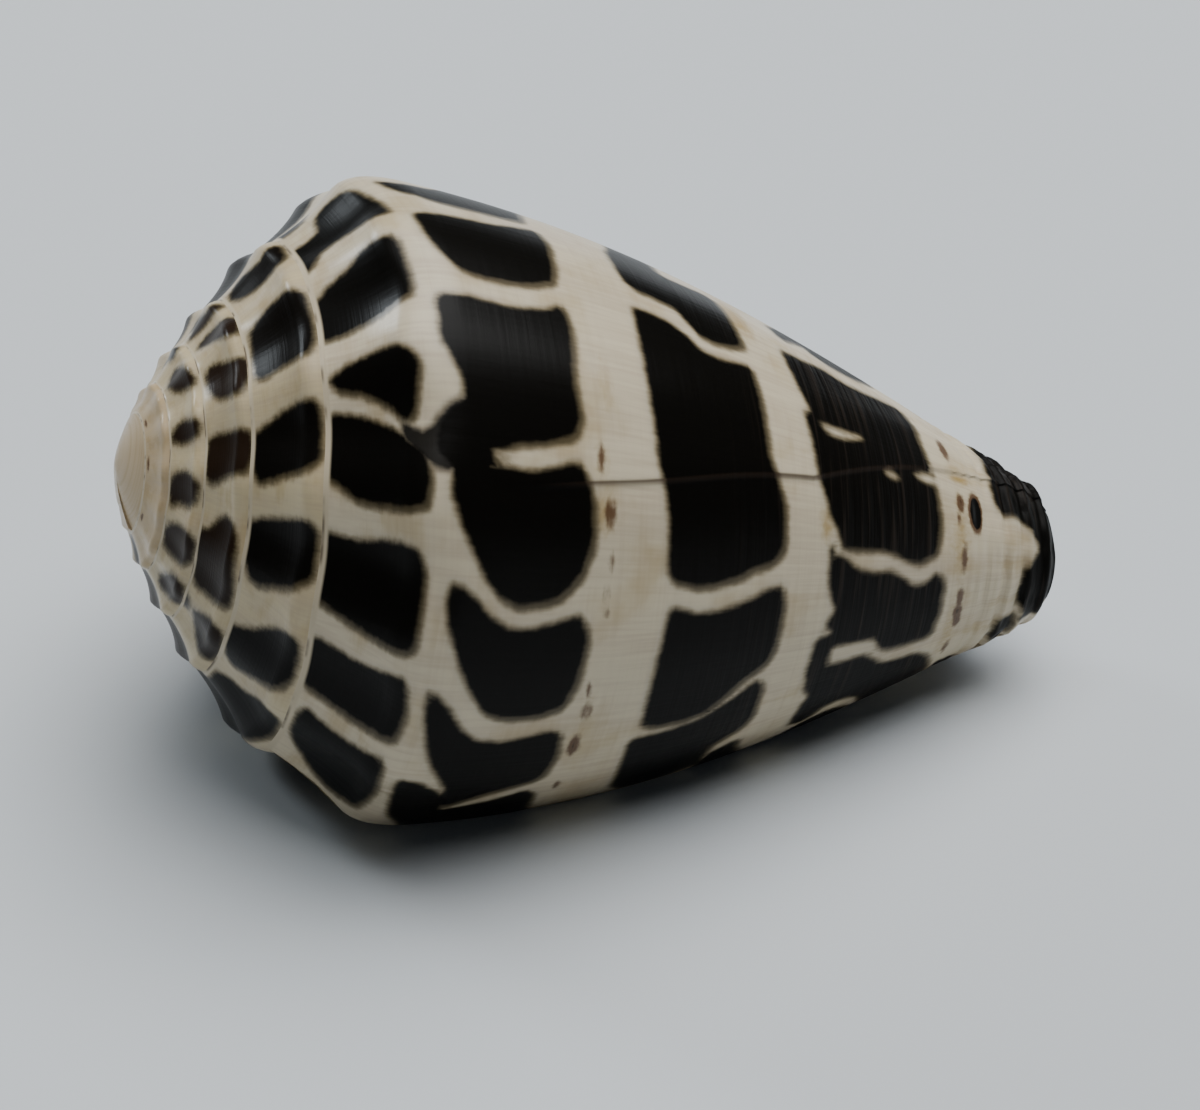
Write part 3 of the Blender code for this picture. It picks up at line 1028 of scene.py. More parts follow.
BROWN_SPOTS: tuple[Spot, ...] = (
    Spot(0.858, -0.352, 0.32, 0.7, 0.9),
    Spot(0.866, -0.282, 0.28, 0.5, 1.0),
    Spot(0.886, -0.274, 0.34, 0.72, 2.6),
    Spot(0.862, -0.262, 0.22, 0.4, 0.7),
    Spot(0.87, -0.215, 0.26, 0.8, 0.8),
    Spot(0.87, -0.165, 0.28, 0.6, 0.9),
    Spot(0.87, -0.145, 0.32, 0.5, 1.0),
    Spot(0.872, -0.132, 0.26, 0.5, 1.0),
    Spot(0.87, -0.085, 0.28, 0.7, 0.7),
    Spot(0.424, -0.26, 0.28, 0.9, 0.75),
    Spot(0.435, -0.232, 0.32, 0.85, 0.9),
    Spot(0.437, -0.207, 0.22, 0.7, 0.7),
    Spot(0.435, -0.19, 0.22, 0.7, 0.7),
    Spot(0.437, -0.18, 0.25, 0.5, 0.6),
    Spot(0.433, -0.135, 0.22, 0.6, 0.8),
    Spot(0.435, -0.12, 0.3, 0.7, 0.8),
    Spot(0.432, -0.095, 0.34, 0.8, 1.0),
    Spot(0.433, -0.055, 0.28, 0.7, 0.8),
    Spot(0.03, -4.36, 0.12, 0.35, 0.8),
    Spot(0.03, -4.24, 0.12, 0.45, 0.8),
    Spot(0.03, -4.10, 0.12, 0.30, 0.8),
)
YELLOW_SPOTS: tuple[Spot, ...] = (
    Spot(0.625, -0.405, 1.0, 2.0, 1.0),
    Spot(0.868, -0.318, 0.8, 0.45, 1.1),
    Spot(0.69, -0.238, 0.5, 1.1, 0.8),
    Spot(0.435, -0.30, 0.6, 2.2, 0.5),
    Spot(0.428, -0.232, 0.7, 1.3, 0.75),
    Spot(0.886, -0.274, 0.62, 1.1, 0.9),
    Spot(0.865, -0.282, 0.5, 0.8, 0.7),
    Spot(0.425, -0.258, 0.5, 1.3, 0.6),
    Spot(0.865, -0.24, 0.8, 2.5, 0.7),
    Spot(0.865, -0.12, 0.7, 2.5, 0.6),
    Spot(0.435, -0.12, 0.6, 2.5, 0.45),
)


@dataclass(frozen=True)
class BlockRow:
    """A spiral row of blocks on the side that the photograph doesn't show.

    Places low and high and turns start and stop bound the row. Pitch is a block's usual length
    with its gap. The pairs give the least and the greatest share of usual length, gap and slant.
    """

    low: float
    high: float
    start: float
    stop: float
    pitch: float
    gap: float
    slant: float
    lengths: Pair = (0.72, 1.3)
    gaps: Pair = (0.7, 1.4)
    slants: Pair = (0.2, 1.5)
    bulge: float = 0.006
    inset: float = 0.07
    cut: float = 0.003
    far_cut: float = 0.002
    knee: float = 0.4
    tilts: tuple[float, float, float] = (0.4, 0.9, 0.5)

    def outlines(self, draw: np.random.Generator) -> list[Outline]:
        """Uneven blocks between two turns.

        Args:
            draw: Seeded source of random numbers.

        Returns:
            One outline for each block.
        """
        count = round((self.stop - self.start) / self.pitch)
        lengths = draw.uniform(*self.lengths, count)
        ends = self.start + (self.stop - self.start) * np.cumsum(lengths) / lengths.sum()
        return [self.block(draw, *turns) for turns in zip([self.start, *ends[:-1]], ends)]

    def block(self, draw: np.random.Generator, turn: float, end: float) -> Outline:
        """One uneven four-cornered block with a bulge or a dent in each edge.

        Args:
            draw: Seeded source of random numbers.
            turn: Growth turn where the block starts.
            end: Growth turn where the next block starts.

        Returns:
            The block's outline.
        """
        end = end - self.gap * draw.uniform(*self.gaps)
        bulge = draw.uniform(-self.bulge, self.bulge, 4)
        inset = draw.uniform(0.0, self.inset, 4) * (self.high - self.low)
        tilt = self.slant * draw.uniform(*self.slants)
        middle = (self.low + self.high) / 2
        knee = self.knee * (middle - self.low)
        tilts = [tilt * share for share in self.tilts]
        return (
            (self.low + inset[0], turn + self.cut),
            (middle - knee, turn + tilts[0] + bulge[0]),
            (middle + knee, turn + tilts[1] + bulge[1]),
            (self.high - inset[1] / 2, turn + tilt + self.far_cut),
            (self.high, (turn + end) / 2 + tilt + bulge[2]),
            (self.high - inset[2] / 2, end + tilt - self.far_cut),
            (middle, end + tilts[2] + bulge[3]),
            (self.low + inset[3], end - self.cut),
            (self.low, (turn + end) / 2),
        )


HIDDEN_ROWS: tuple[BlockRow, ...] = (
    BlockRow(0.006, 0.236, -0.99, -0.50, 0.078, 0.018, -0.004),
    BlockRow(0.262, 0.410, -0.995, -0.505, 0.082, 0.014, 0.005),
    BlockRow(0.488, 0.628, -0.995, -0.503, 0.098, 0.015, 0.006),
    BlockRow(0.682, 0.845, -0.99, -0.505, 0.09, 0.015, -0.006),
    BlockRow(0.012, 0.236, -1.985, -1.465, 0.088, 0.028, -0.004),
    BlockRow(0.02, 0.232, -2.985, -2.50, 0.095, 0.036, -0.006),
    BlockRow(0.03, 0.222, -3.985, -3.52, 0.105, 0.050, -0.008),
)


@dataclass(frozen=True)
class Sites:
    """Points in growth coordinates, with the millimetres in a turn and in a unit of place there."""

    turn: Array
    place: Array
    wide: Array
    long: Array

    def moved(self, turn: float, place: float) -> "Sites":
        """The points moved by a turn and by a place, with the scales they had."""
        return Sites(self.turn + turn, self.place + place, self.wide, self.long)

    def picked(self, chosen: Array) -> "Sites":
        """Some of the points."""
        return Sites(self.turn[chosen], self.place[chosen], self.wide[chosen], self.long[chosen])


@dataclass(frozen=True)
class Markings:
    """Where the colour lies: blocks, gaps, veils, spots and the scar, in growth coordinates.

    The fringes are also measured from late, a turn and a place beside the point itself, so that
    they are wider on one side of a block.
    """

    growth: Growth
    seed: int = 41
    swell: float = 0.05
    late: Pair = (-0.002, -0.003)
    cut: float = 0.12
    cuts: int = 2
    reach: Pair = (0.09, 0.035)
    scale_step: float = 0.004
    least_radius: float = 0.3
    least_length: float = 2.0
    least_square: float = 1e-9
    least_rise: float = 1e-12
    scar_half_width: float = 0.24
    scar_fade: float = 0.2

    def sites(self, turn: Array, place: Array) -> Sites:
        """Points with their scales.

        Args:
            turn: Growth turns.
            place: Profile places.

        Returns:
            The points, with millimetres in one turn and in one unit of profile place.
        """
        near = np.clip(place, 0, 1 - self.scale_step)
        low = self.growth.profile(turn, near)
        high = self.growth.profile(turn, near + self.scale_step)
        length = np.hypot(high[0] - low[0], high[1] - low[1]) / self.scale_step
        wide = 2 * np.pi * np.maximum(low[0], self.least_radius)
        return Sites(turn, place, wide, np.maximum(length, self.least_length))

    def rounded(self, outline: Outline) -> Array:
        """Outline with its corners cut more than once.

        Args:
            outline: Round of profile place and growth turn.

        Returns:
            Rows of profile place and growth turn.
        """
        points = np.array(outline)
        keep = 1 - self.cut
        for _ in range(self.cuts):
            after = np.roll(points, -1, axis=0)
            near, far = keep * points + self.cut * after, self.cut * points + keep * after
            points = np.stack([near, far], axis=1).reshape(-1, 2)
        return points

    def distance(self, outlines: tuple[Outline, ...], sites: Sites) -> Array:
        """Signed distance to a set of outlines.

        Args:
            outlines: Rounds of profile place and growth turn.
            sites: Points to measure from.

        Returns:
            Millimetres, below nought inside, at most FAR.
        """
        result = np.full(sites.turn.shape, FAR)
        spots = np.stack([sites.place, sites.turn], axis=1)
        for outline in outlines:
            points = self.rounded(outline)
            low, high = points.min(axis=0) - self.reach, points.max(axis=0) + self.reach
            chosen = np.nonzero(((spots > low) & (spots < high)).all(axis=1))[0]
            if len(chosen):
                signed = self.one_distance(points, sites.picked(chosen))
                result[chosen] = np.minimum(result[chosen], signed)
        return result

    def one_distance(self, points: Array, sites: Sites) -> Array:
        """Signed distance to one rounded outline.

        Args:
            points: Rows of profile place and growth turn.
            sites: Points to measure from.

        Returns:
            Millimetres, below nought inside.
        """
        nearest = np.full(sites.turn.shape, FAR)
        within = np.zeros(sites.turn.shape, bool)
        for start, end in zip(points, np.roll(points, -1, axis=0)):
            place, turn = sites.place - start[0], sites.turn - start[1]
            step = end - start
            along = np.stack([step[0] * sites.long, step[1] * sites.wide])
            reach = np.stack([place * sites.long, turn * sites.wide])
            square = np.maximum((along * along).sum(0), self.least_square)
            share = np.clip((reach * along).sum(0) / square, 0, 1)
            nearest = np.minimum(nearest, np.hypot(*(reach - along * share)))
            crosses = (start[1] > sites.turn) != (end[1] > sites.turn)
            line = start[0] + step[0] / (step[1] + self.least_rise) * turn
            within ^= crosses & (sites.place < line)
        return np.where(within, -nearest, nearest)

    def spots(self, spots: tuple[Spot, ...], sites: Sites) -> Array:
        """Strength of small rounded marks.

        Args:
            spots: The marks.
            sites: Points to read.

        Returns:
            Strength at each point.
        """
        result = np.zeros(sites.turn.shape)
        for spot in spots:
            across = (sites.place - spot.place) * sites.long / spot.across
            along = (sites.turn - spot.turn) * sites.wide / spot.along
            result = np.maximum(result, spot.strength * np.exp(-(across**2 + along**2)))
        return result

    def scar(self, sites: Sites) -> Array:
        """Strength of the thin line along the growth scar.

        Args:
            sites: Points to read.

        Returns:
            Strength at each point.
        """
        share = (sites.place - CORNER_END) / (1 - CORNER_END)
        line = self.growth.scar_turn + self.growth.scar_path(share)
        gap = np.abs((sites.turn - line) * sites.wide)
        return np.maximum(0, 1 - gap / self.scar_half_width) * smooth(share / self.scar_fade) * (share > 0)

    def write(self, mesh: bpy.types.Mesh, marks: Array, sources: Array) -> None:
        """All layers written as attributes of the face corners.

        Args:
            mesh: Mesh of the shell.
            marks: Rows of growth turn, profile place and inside.
            sources: Row number for each face corner.
        """
        turn, place, inside = marks.T
        draw = np.random.default_rng(self.seed)
        blocks = BLOCKS + tuple(outline for row in HIDDEN_ROWS for outline in row.outlines(draw))
        sites = self.sites(turn, place)
        gaps = self.distance(WHITE_GAPS, sites)
        block = self.distance(blocks, sites) - self.swell
        late = self.distance(blocks, sites.moved(*self.late)) - self.swell
        values = {
            Layer.TURN: turn,
            Layer.PLACE: place,
            Layer.BLOCK: np.maximum(block, -gaps),
            Layer.LATE: np.maximum(late, -gaps),
            Layer.GREY: self.distance(GREY_VEILS, sites),
            Layer.BROWN: self.spots(BROWN_SPOTS, sites),
            Layer.YELLOW: self.spots(YELLOW_SPOTS, sites),
            Layer.SCAR: self.scar(sites),
            Layer.INSIDE: inside,
        }
        for layer, numbers in values.items():
            attribute = mesh.attributes.new(layer.value, "FLOAT", "CORNER")
            attribute.data.foreach_set("value", numbers[sources].astype(np.float32))


class Tree:
    """Short ways to add nodes to one node tree."""

    def __init__(self, tree: bpy.types.NodeTree) -> None:
        """Keep the tree."""
        self.tree = tree

    def node(self, kind: str, fed: Feeds | None = None, **settings: object) -> bpy.types.Node:
        """New node.

        Args:
            kind: Type of the node.
            fed: What feeds the inputs, by name or number.
            **settings: Values of the node's own settings.

        Returns:
            The node.
        """
        made = self.tree.nodes.new(kind)
        for name, value in settings.items():
            setattr(made, name, value)
        for name, source in (fed or {}).items():
            self.feed(made.inputs[name], source)
        return made

    def feed(self, socket: Socket, source: Source) -> None:
        """Socket fed by another socket or set to a constant.

        Args:
            socket: Input of a node.
            source: Output of a node, a number or a colour.
        """
        if isinstance(source, Socket):
            self.tree.links.new(source, socket)
        else:
            socket.default_value = source

    def math(self, operation: str, *sources: Source) -> Socket:
        """Result of a sum on one to three values."""
        return self.node("ShaderNodeMath", dict(enumerate(sources)), operation=operation).outputs[0]

    def times(self, *sources: Source) -> Socket:
        """Product of two values or more."""
        product = self.math("MULTIPLY", *sources[:2])
        return self.times(product, *sources[2:]) if sources[2:] else product

    def step(self, value: Socket, low: float, high: float) -> Socket:
        """Soft step between two values, the first of which may be the greater.

        Args:
            value: What is stepped.
            low: Value at which the step gives nought.
            high: Value at which the step gives one.

        Returns:
            The share.
        """
        ends = (low, high, 0.0, 1.0) if low < high else (high, low, 1.0, 0.0)
        names = ("Value", "From Min", "From Max", "To Min", "To Max")
        fed = dict(zip(names, (value, *ends)))
        made = self.node("ShaderNodeMapRange", fed, interpolation_type="SMOOTHSTEP", clamp=True)
        return made.outputs["Result"]

    def noise(self, spot: tuple[Source, ...], detail: float = 2.0) -> Socket:
        """Noise value.

        Args:
            spot: Two or three values, the place to read.
            detail: Fineness of the noise.

        Returns:
            The value.
        """
        vector = self.node("ShaderNodeCombineXYZ", dict(enumerate(spot))).outputs[0]
        fed = {"Vector": vector, "Scale": 1.0, "Detail": detail}
        return self.node("ShaderNodeTexNoise", fed, noise_dimensions="3D").outputs[0]

    def mix(self, share: Source, first: Source, second: Source) -> Socket:
        """Two colours mixed."""
        fed = {0: share, 6: first, 7: second}
        return self.node("ShaderNodeMix", fed, data_type="RGBA", blend_type="MIX").outputs[2]


class Group(Tree):
    """A shader node group with named inputs, all single values, and outputs."""

    def __init__(self, name: str, inputs: tuple[str, ...], outputs: tuple[str, ...]) -> None:
        """Make the group's sockets.

        Args:
            name: Name of the group.
            inputs: Names of its inputs.
            outputs: Names of its outputs; the one called Color is a colour.
        """
        self.group = bpy.data.node_groups.new(name, "ShaderNodeTree")
        super().__init__(self.group)
        face = self.group.interface
        for item in inputs:
            face.new_socket(item, in_out="INPUT", socket_type="NodeSocketFloat")
        for item in outputs:
            kind = "NodeSocketColor" if item == "Color" else "NodeSocketFloat"
            face.new_socket(item, in_out="OUTPUT", socket_type=kind)
        self.source = self.node("NodeGroupInput").outputs
        self.result = self.node("NodeGroupOutput").inputs

    def give(self, **sockets: Socket) -> bpy.types.NodeTree:
        """Outputs joined to sockets.

        Args:
            **sockets: What feeds each output.

        Returns:
            The node group.
        """
        for name, socket in sockets.items():
            self.feed(self.result[name], socket)
        return self.group

    def grain(self, turns: float, places: float, seed: float = 0.0, detail: float = 2.0) -> Socket:
        """Noise of the growth frame.

        Args:
            turns: Cells in one turn.
            places: Cells in one unit of profile place.
            seed: Picks one of many such noises.
            detail: Fineness of the noise.

        Returns:
            The noise value.
        """
        turn, place = self.times(self.source["Turn"], turns), self.times(self.source["Place"], places)
        return self.noise((turn, place, seed), detail)


@dataclass(frozen=True)
class GrowthRelief:
    """Growth lines across the whorl and fine grooves along it."""

    lines: Pair = (330.0, 9.0)
    waves: Pair = (60.0, 3.0)
    grooves: Pair = (7.0, 150.0)
    line_share: float = 0.55
    streak_share: float = 0.55
    groove_least: float = 0.35
    groove_more: float = 1.3
    groove_step: Pair = (0.45, 0.8)

    def group(self) -> bpy.types.NodeTree:
        """Group that gives the streak values and the height of the fine relief.

        Returns:
            The node group.
        """
        made = Group("growth_relief", ("Turn", "Place"), ("Streak", "Groove", "Height"))
        fine = made.grain(*self.lines, detail=3.0)
        broad = made.grain(*self.waves, seed=5.0)
        groove = made.grain(*self.grooves, seed=9.0)
        low = made.step(made.source["Place"], *self.groove_step)
        deep = made.math("MULTIPLY_ADD", low, self.groove_more, self.groove_least)
        rest = 1 - self.line_share
        streak = made.math("ADD", made.times(fine, self.line_share), made.times(broad, rest))
        height = made.math("ADD", made.times(streak, self.streak_share), made.times(groove, deep))
        return made.give(Streak=streak, Groove=groove, Height=height)


@dataclass(frozen=True)
class BlockPattern:
    """Masks of the black blocks, their brown fringe, grey margin and smoky veils.

    The steps are millimetres from the outline, below nought inside it.
    """

    uneven: Pair = (110.0, 60.0)
    toothed: Pair = (420.0, 30.0)
    wobble: float = 0.11
    teeth: float = 0.05
    black: Pair = (0.07, -0.19)
    brown: Pair = (0.23, -0.12)
    tan: Pair = (0.30, 0.0)
    margin: Pair = (0.55, 0.0)
    veil: Pair = (0.34, -0.16)

    def group(self) -> bpy.types.NodeTree:
        """Group that turns distances into masks.

        Returns:
            The node group.
        """
        inputs = ("Distance", "Late", "Grey", "Turn", "Place")
        made = Group("block_pattern", inputs, ("Black", "Brown", "Tan", "Margin", "Veil"))
        coarse = made.math("SUBTRACT", made.grain(*self.uneven, seed=2.0, detail=4.0), NOISE_MIDDLE)
        teeth = made.math("SUBTRACT", made.grain(*self.toothed, seed=7.0, detail=1.0), NOISE_MIDDLE)
        shake = made.math("MULTIPLY_ADD", teeth, self.teeth * 2, made.times(coarse, self.wobble * 2))
        near, late, grey = (made.math("ADD", made.source[name], shake) for name in inputs[:3])
        both = made.math("MINIMUM", near, late)
        return made.give(
            Black=made.step(near, *self.black),
            Brown=made.step(both, *self.brown),
            Tan=made.step(both, *self.tan),
            Margin=made.step(near, *self.margin),
            Veil=made.step(grey, *self.veil),
        )


@dataclass(frozen=True)
class ShellColour:
    """Colours of the ground, blocks, fringes, veils, stains, the porcelain inside and a painted highlight
    along the growth scar.

    The pairs are steps: the value at which an effect starts and the value at which it is full.
    """

    band: Colour = (0.65, 0.57, 0.41, 1.0)
    pink: Colour = (0.46, 0.36, 0.26, 1.0)
    spire: Colour = (0.58, 0.485, 0.30, 1.0)
    worn: Colour = (0.52, 0.40, 0.24, 1.0)
    # Pale suture thread; the same colour also paints the highlight along the scar's ridge near the base
    # end.
    pale_thread_and_highlight: Colour = (0.56, 0.48, 0.34, 1.0)
    black: Colour = (0.0035, 0.0030, 0.0022, 1.0)
    groove: Colour = (0.016, 0.012, 0.009, 1.0)
    old_black: Colour = (0.020, 0.011, 0.006, 1.0)
    brown: Colour = (0.034, 0.0245, 0.009, 1.0)
    tan: Colour = (0.235, 0.178, 0.085, 1.0)
    spot: Colour = (0.105, 0.050, 0.024, 1.0)
    yellow: Colour = (0.40, 0.28, 0.11, 1.0)
    grey: Colour = (0.30, 0.28, 0.25, 1.0)
    smoke: Colour = (0.010, 0.009, 0.008, 1.0)
    line: Colour = (0.06, 0.035, 0.02, 1.0)
    porcelain: Colour = (0.70, 0.65, 0.62, 1.0)
    # Steps along the growth turns and the profile.
    spire_turns: Pair = (-0.85, -1.2)
    worn_turns: Pair = (-3.3, -4.3)
    old_black_turns: Pair = (-1.1, -2.6)
    groove_places: Pair = (0.55, 0.72)
    scar_end: Pair = (0.85, 0.80)
    # Places near the base end between which the scar's ridge gets its painted highlight.
    ridge_highlight_start: Pair = (0.80, 0.85)
    ridge_highlight_end: Pair = (0.93, 0.90)
    suture_thread: Pair = (0.015, 0.008)
    slit_places: Pair = (0.007, 0.002)
    rough_places: Pair = (0.6, 0.95)
    # Cells of the noises in one turn and in one unit of profile place.
    cloud_cells: Pair = (26.0, 14.0)
    fleck_cells: Pair = (160.0, 130.0)
    slit_cells: float = 22.0
    slit_seed: float = 3.0
    # Steps of the noises and marks.
    tone: Pair = (0.60, 0.36)
    weave: Pair = (0.60, 0.32)
    weave_clouds: Pair = (0.35, 0.60)
    yellow_clouds: Pair = (0.46, 0.70)
    stain: Pair = (0.25, 1.0)
    brown_spot: Pair = (0.28, 0.72)
    black_spot: Pair = (0.80, 1.20)
    grooves: Pair = (0.52, 0.68)
    crack: Pair = (0.35, 0.85)
    # Step of the painted highlight along the scar's ridge.
    ridge: Pair = (0.0, 0.5)
    slit: Pair = (0.48, 0.60)
    # Strength of each effect, then roughness and glaze.
    tone_share: float = 0.42
    weave_share: float = 0.24
    cloud_share: float = 0.42
    margin_share: float = 0.28
    veil_share: float = 0.985
    spot_share: float = 0.92
    tan_share: float = 0.6
    brown_share: float = 0.82
    crack_share: float = 0.80
    # On the blocks the scar's line colour lightens the black: a faint painted highlight along the scar's
    # step.
    crack_highlight_on_black: float = 0.18
    # Strength of the painted highlight along the scar's ridge.
    ridge_highlight_share: float = 0.6
    slit_share: float = 0.75
    spot_fleck: float = 0.4
    stain_fleck: float = 0.5
    rough: float = 0.26
    rough_streak: float = 0.10
    rough_end: float = 0.22
    glaze_black: float = 0.02
    glaze_pale: float = 0.36

    def group(self) -> bpy.types.NodeTree:
        """Group that mixes the surface colour, its roughness and its glaze.

        Returns:
            The node group.
        """
        inputs = ("Turn", "Place", "Streak", "Groove", "Black", "Brown", "Tan", "Margin", "Veil")
        inputs += ("Spot", "Stain", "Scar", "Inside")
        made = Group("shell_colour", inputs, ("Color", "Roughness", "Glaze"))
        source = made.source
        pale = made.math("SUBTRACT", 1.0, source["Black"])
        coat = made.mix(source["Black"], self.edged(made, self.ground(made)), self.blacks(made))
        coat = self.scarred(made, coat, pale)
        coat = made.mix(made.step(source["Place"], *self.suture_thread), coat, self.pale_thread_and_highlight)
        slit = made.noise((made.times(source["Turn"], self.slit_cells), self.slit_seed), detail=3.0)
        slit = made.times(made.step(slit, *self.slit), made.step(source["Place"], *self.slit_places))
        coat = made.mix(made.times(slit, self.slit_share), coat, self.line)
        coat = made.mix(source["Inside"], coat, self.porcelain)
        rough = made.math("MULTIPLY_ADD", source["Streak"], self.rough_streak, self.rough)
        end = made.step(source["Place"], *self.rough_places)
        rough = made.math("MULTIPLY_ADD", end, self.rough_end, rough)
        more = self.glaze_pale - self.glaze_black
        glaze = made.math("MULTIPLY_ADD", pale, more, self.glaze_black)
        return made.give(Color=coat, Roughness=rough, Glaze=glaze)

    def ground(self, made: Group) -> Socket:
        """Pale ground with its growth lines, warmer on the spire.

        Args:
            made: The group.

        Returns:
            The colour.
        """
        turn = made.source["Turn"]
        ground = made.mix(made.step(turn, *self.spire_turns), self.band, self.spire)
        ground = made.mix(made.step(turn, *self.worn_turns), ground, self.worn)
        tone = made.step(made.source["Streak"], *self.tone)
        ground = made.mix(made.times(tone, self.tone_share), ground, self.pink)
        cloud = made.grain(*self.cloud_cells, seed=4.0, detail=3.0)
        weave = made.step(made.source["Groove"], *self.weave)
        weave = made.times(weave, made.step(cloud, *self.weave_clouds))
        ground = made.mix(made.times(weave, self.weave_share), ground, self.pink)
        clouds = made.times(made.step(cloud, *self.yellow_clouds), self.cloud_share)
        return made.mix(clouds, ground, self.yellow)

    def edged(self, made: Group, ground: Socket) -> Socket:
        """Ground with margins, veils, stains, spots and the fringes of the blocks.

        Args:
            made: The group.
            ground: Colour of the plain ground.

        Returns:
            The colour.
        """
        source = made.source
        ground = made.mix(made.times(source["Margin"], self.margin_share), ground, self.grey)
        ground = made.mix(made.times(source["Veil"], self.veil_share), ground, self.smoke)
        clear = made.math("SUBTRACT", 1.0, source["Veil"])
        fleck = made.math("SUBTRACT", made.grain(*self.fleck_cells), NOISE_MIDDLE)
        spot = made.math("MULTIPLY_ADD", fleck, self.spot_fleck, source["Spot"])
        stain = made.math("MULTIPLY_ADD", fleck, self.stain_fleck, source["Stain"])
        ground = made.mix(made.step(stain, *self.stain), ground, self.yellow)
        brown = made.times(made.step(spot, *self.brown_spot), self.spot_share)
        ground = made.mix(brown, ground, self.spot)
        ground = made.mix(made.step(spot, *self.black_spot), ground, self.black)
        ground = made.mix(made.times(source["Tan"], self.tan_share, clear), ground, self.tan)
        return made.mix(made.times(source["Brown"], self.brown_share, clear), ground, self.brown)

    def blacks(self, made: Group) -> Socket:
        """Black of the blocks, browner on the spire and worn along the grooves near the base.

        Args:
            made: The group.

        Returns:
            The colour.
        """
        dark = made.mix(made.step(made.source["Turn"], *self.old_black_turns), self.black, self.old_black)
        worn = made.step(made.source["Groove"], *self.grooves)
        worn = made.times(worn, made.step(made.source["Place"], *self.groove_places))
        return made.mix(worn, dark, self.groove)

    def scarred(self, made: Group, coat: Socket, pale: Socket) -> Socket:
        """Coat with the scar's dark line, a painted highlight where it crosses the blocks, and a painted
        highlight along its ridge near the base end.

        Args:
            made: The group.
            coat: Colour of ground and blocks.
            pale: One off the blocks.

        Returns:
            The colour.
        """
        scar, place = made.source["Scar"], made.source["Place"]
        crack = made.times(made.step(scar, *self.crack), made.step(place, *self.scar_end))
        # On the pale ground the scar is a dark line; on the black blocks the same mix lightens them into a
        # faint painted highlight.
        less = self.crack_highlight_on_black - self.crack_share
        line_and_highlight_share = made.math("MULTIPLY_ADD", made.source["Black"], less, self.crack_share)
        coat = made.mix(made.times(crack, line_and_highlight_share), coat, self.line)
        # Painted highlight: the scar's ridge near the base end is made pale in the colour, off the blocks.
        end = made.times(made.step(place, *self.ridge_highlight_start), made.step(place, *self.ridge_highlight_end), pale)
        lit = made.times(made.step(scar, *self.ridge), end, self.ridge_highlight_share)
        return made.mix(lit, coat, self.pale_thread_and_highlight)


@dataclass(frozen=True)
class ShellFinish:
    """Glossy shell finish driven by the growth frame of the surface."""

    coat_roughness: float = 0.24
    gloss: float = 0.07
    relief: float = 0.00004
    relief_strength: float = 0.6

    def material(self) -> bpy.types.Material:
        """The finish as a material.

        Returns:
            The material.
        """
        made = bpy.data.materials.new("shell_glaze")
        made.use_nodes = True
        nodes = Tree(made.node_tree)
        shader = made.node_tree.nodes["Principled BSDF"]
        value: dict[str, Socket] = {}
        # Names of the groups' inputs, in the order of the layers.
        names = ("Turn", "Place", "Distance", "Late", "Grey", "Spot", "Stain", "Scar", "Inside")
        for name, layer in zip(names, Layer, strict=True):
            node = nodes.node("ShaderNodeAttribute", attribute_name=layer.value)
            value[name] = node.outputs["Fac"]
        for maker in (GrowthRelief(), BlockPattern(), ShellColour()):
            group = nodes.node("ShaderNodeGroup", node_tree=maker.group())
            for socket in group.inputs:
                nodes.feed(socket, value[socket.name])
            value.update({socket.name: socket for socket in group.outputs})
        bump = {"Strength": self.relief_strength, "Distance": self.relief, "Height": value["Height"]}
        fed = {
            "Base Color": value["Color"],
            "Roughness": value["Roughness"],
            "Specular IOR Level": self.gloss,
            "Coat Weight": value["Glaze"],
            "Coat Roughness": self.coat_roughness,
            "Normal": nodes.node("ShaderNodeBump", bump).outputs["Normal"],
        }
        for name, source in fed.items():
            nodes.feed(shader.inputs[name], source)
        return made


@dataclass(frozen=True)
class Floor:
    """Plain pale floor."""

    reach: float = 1.5
    colour: Colour = (0.62, 0.655, 0.68, 1.0)
    roughness: float = 0.8

    def build(self) -> bpy.types.Object:
        """Flat floor just under the shell.

        Returns:
            The floor, staged.
        """
        mesh = bpy.data.meshes.new("floor")
        signs = ((-1, -1), (1, -1), (1, 1), (-1, 1))
        corners = [(self.reach * across, self.reach * along, 0) for across, along in signs]
        mesh.from_pydata(corners, [], [(0, 1, 2, 3)])
        floor = bpy.data.objects.new("floor", mesh)
        bpy.context.scene.collection.objects.link(floor)
        material = bpy.data.materials.new("floor_paper")
        material.use_nodes = True
        shader = material.node_tree.nodes["Principled BSDF"]
        shader.inputs["Base Color"].default_value = self.colour
        shader.inputs["Roughness"].default_value = self.roughness
        mesh.materials.append(material)
        return floor


@dataclass(frozen=True)
class Lamp:
    """A soft square light that faces the shell."""

    name: str
    azimuth: float
    height: float
    distance: float
    size: float
    power: float
    colour: tuple[float, float, float]
    aim: tuple[float, float, float] = (0.0, 0.0, 0.01)

    def build(self) -> bpy.types.Object:
        """Area light aimed at the middle of the shell.

        Returns:
            The light.
        """
        data = bpy.data.lights.new(self.name, "AREA")
        data.shape = "SQUARE"
        data.size = self.size
        data.energy = self.power
        data.color = self.colour
        lamp = bpy.data.objects.new(self.name, data)
        bpy.context.scene.collection.objects.link(lamp)
        turn, rise = math.radians(self.azimuth), math.radians(self.height)
        away = Vector((math.cos(turn) * math.cos(rise), math.sin(turn) * math.cos(rise), math.sin(rise)))
        lamp.location = away * self.distance + Vector(self.aim)
        lamp.rotation_euler = away.to_track_quat("Z", "Y").to_euler()
        return lamp


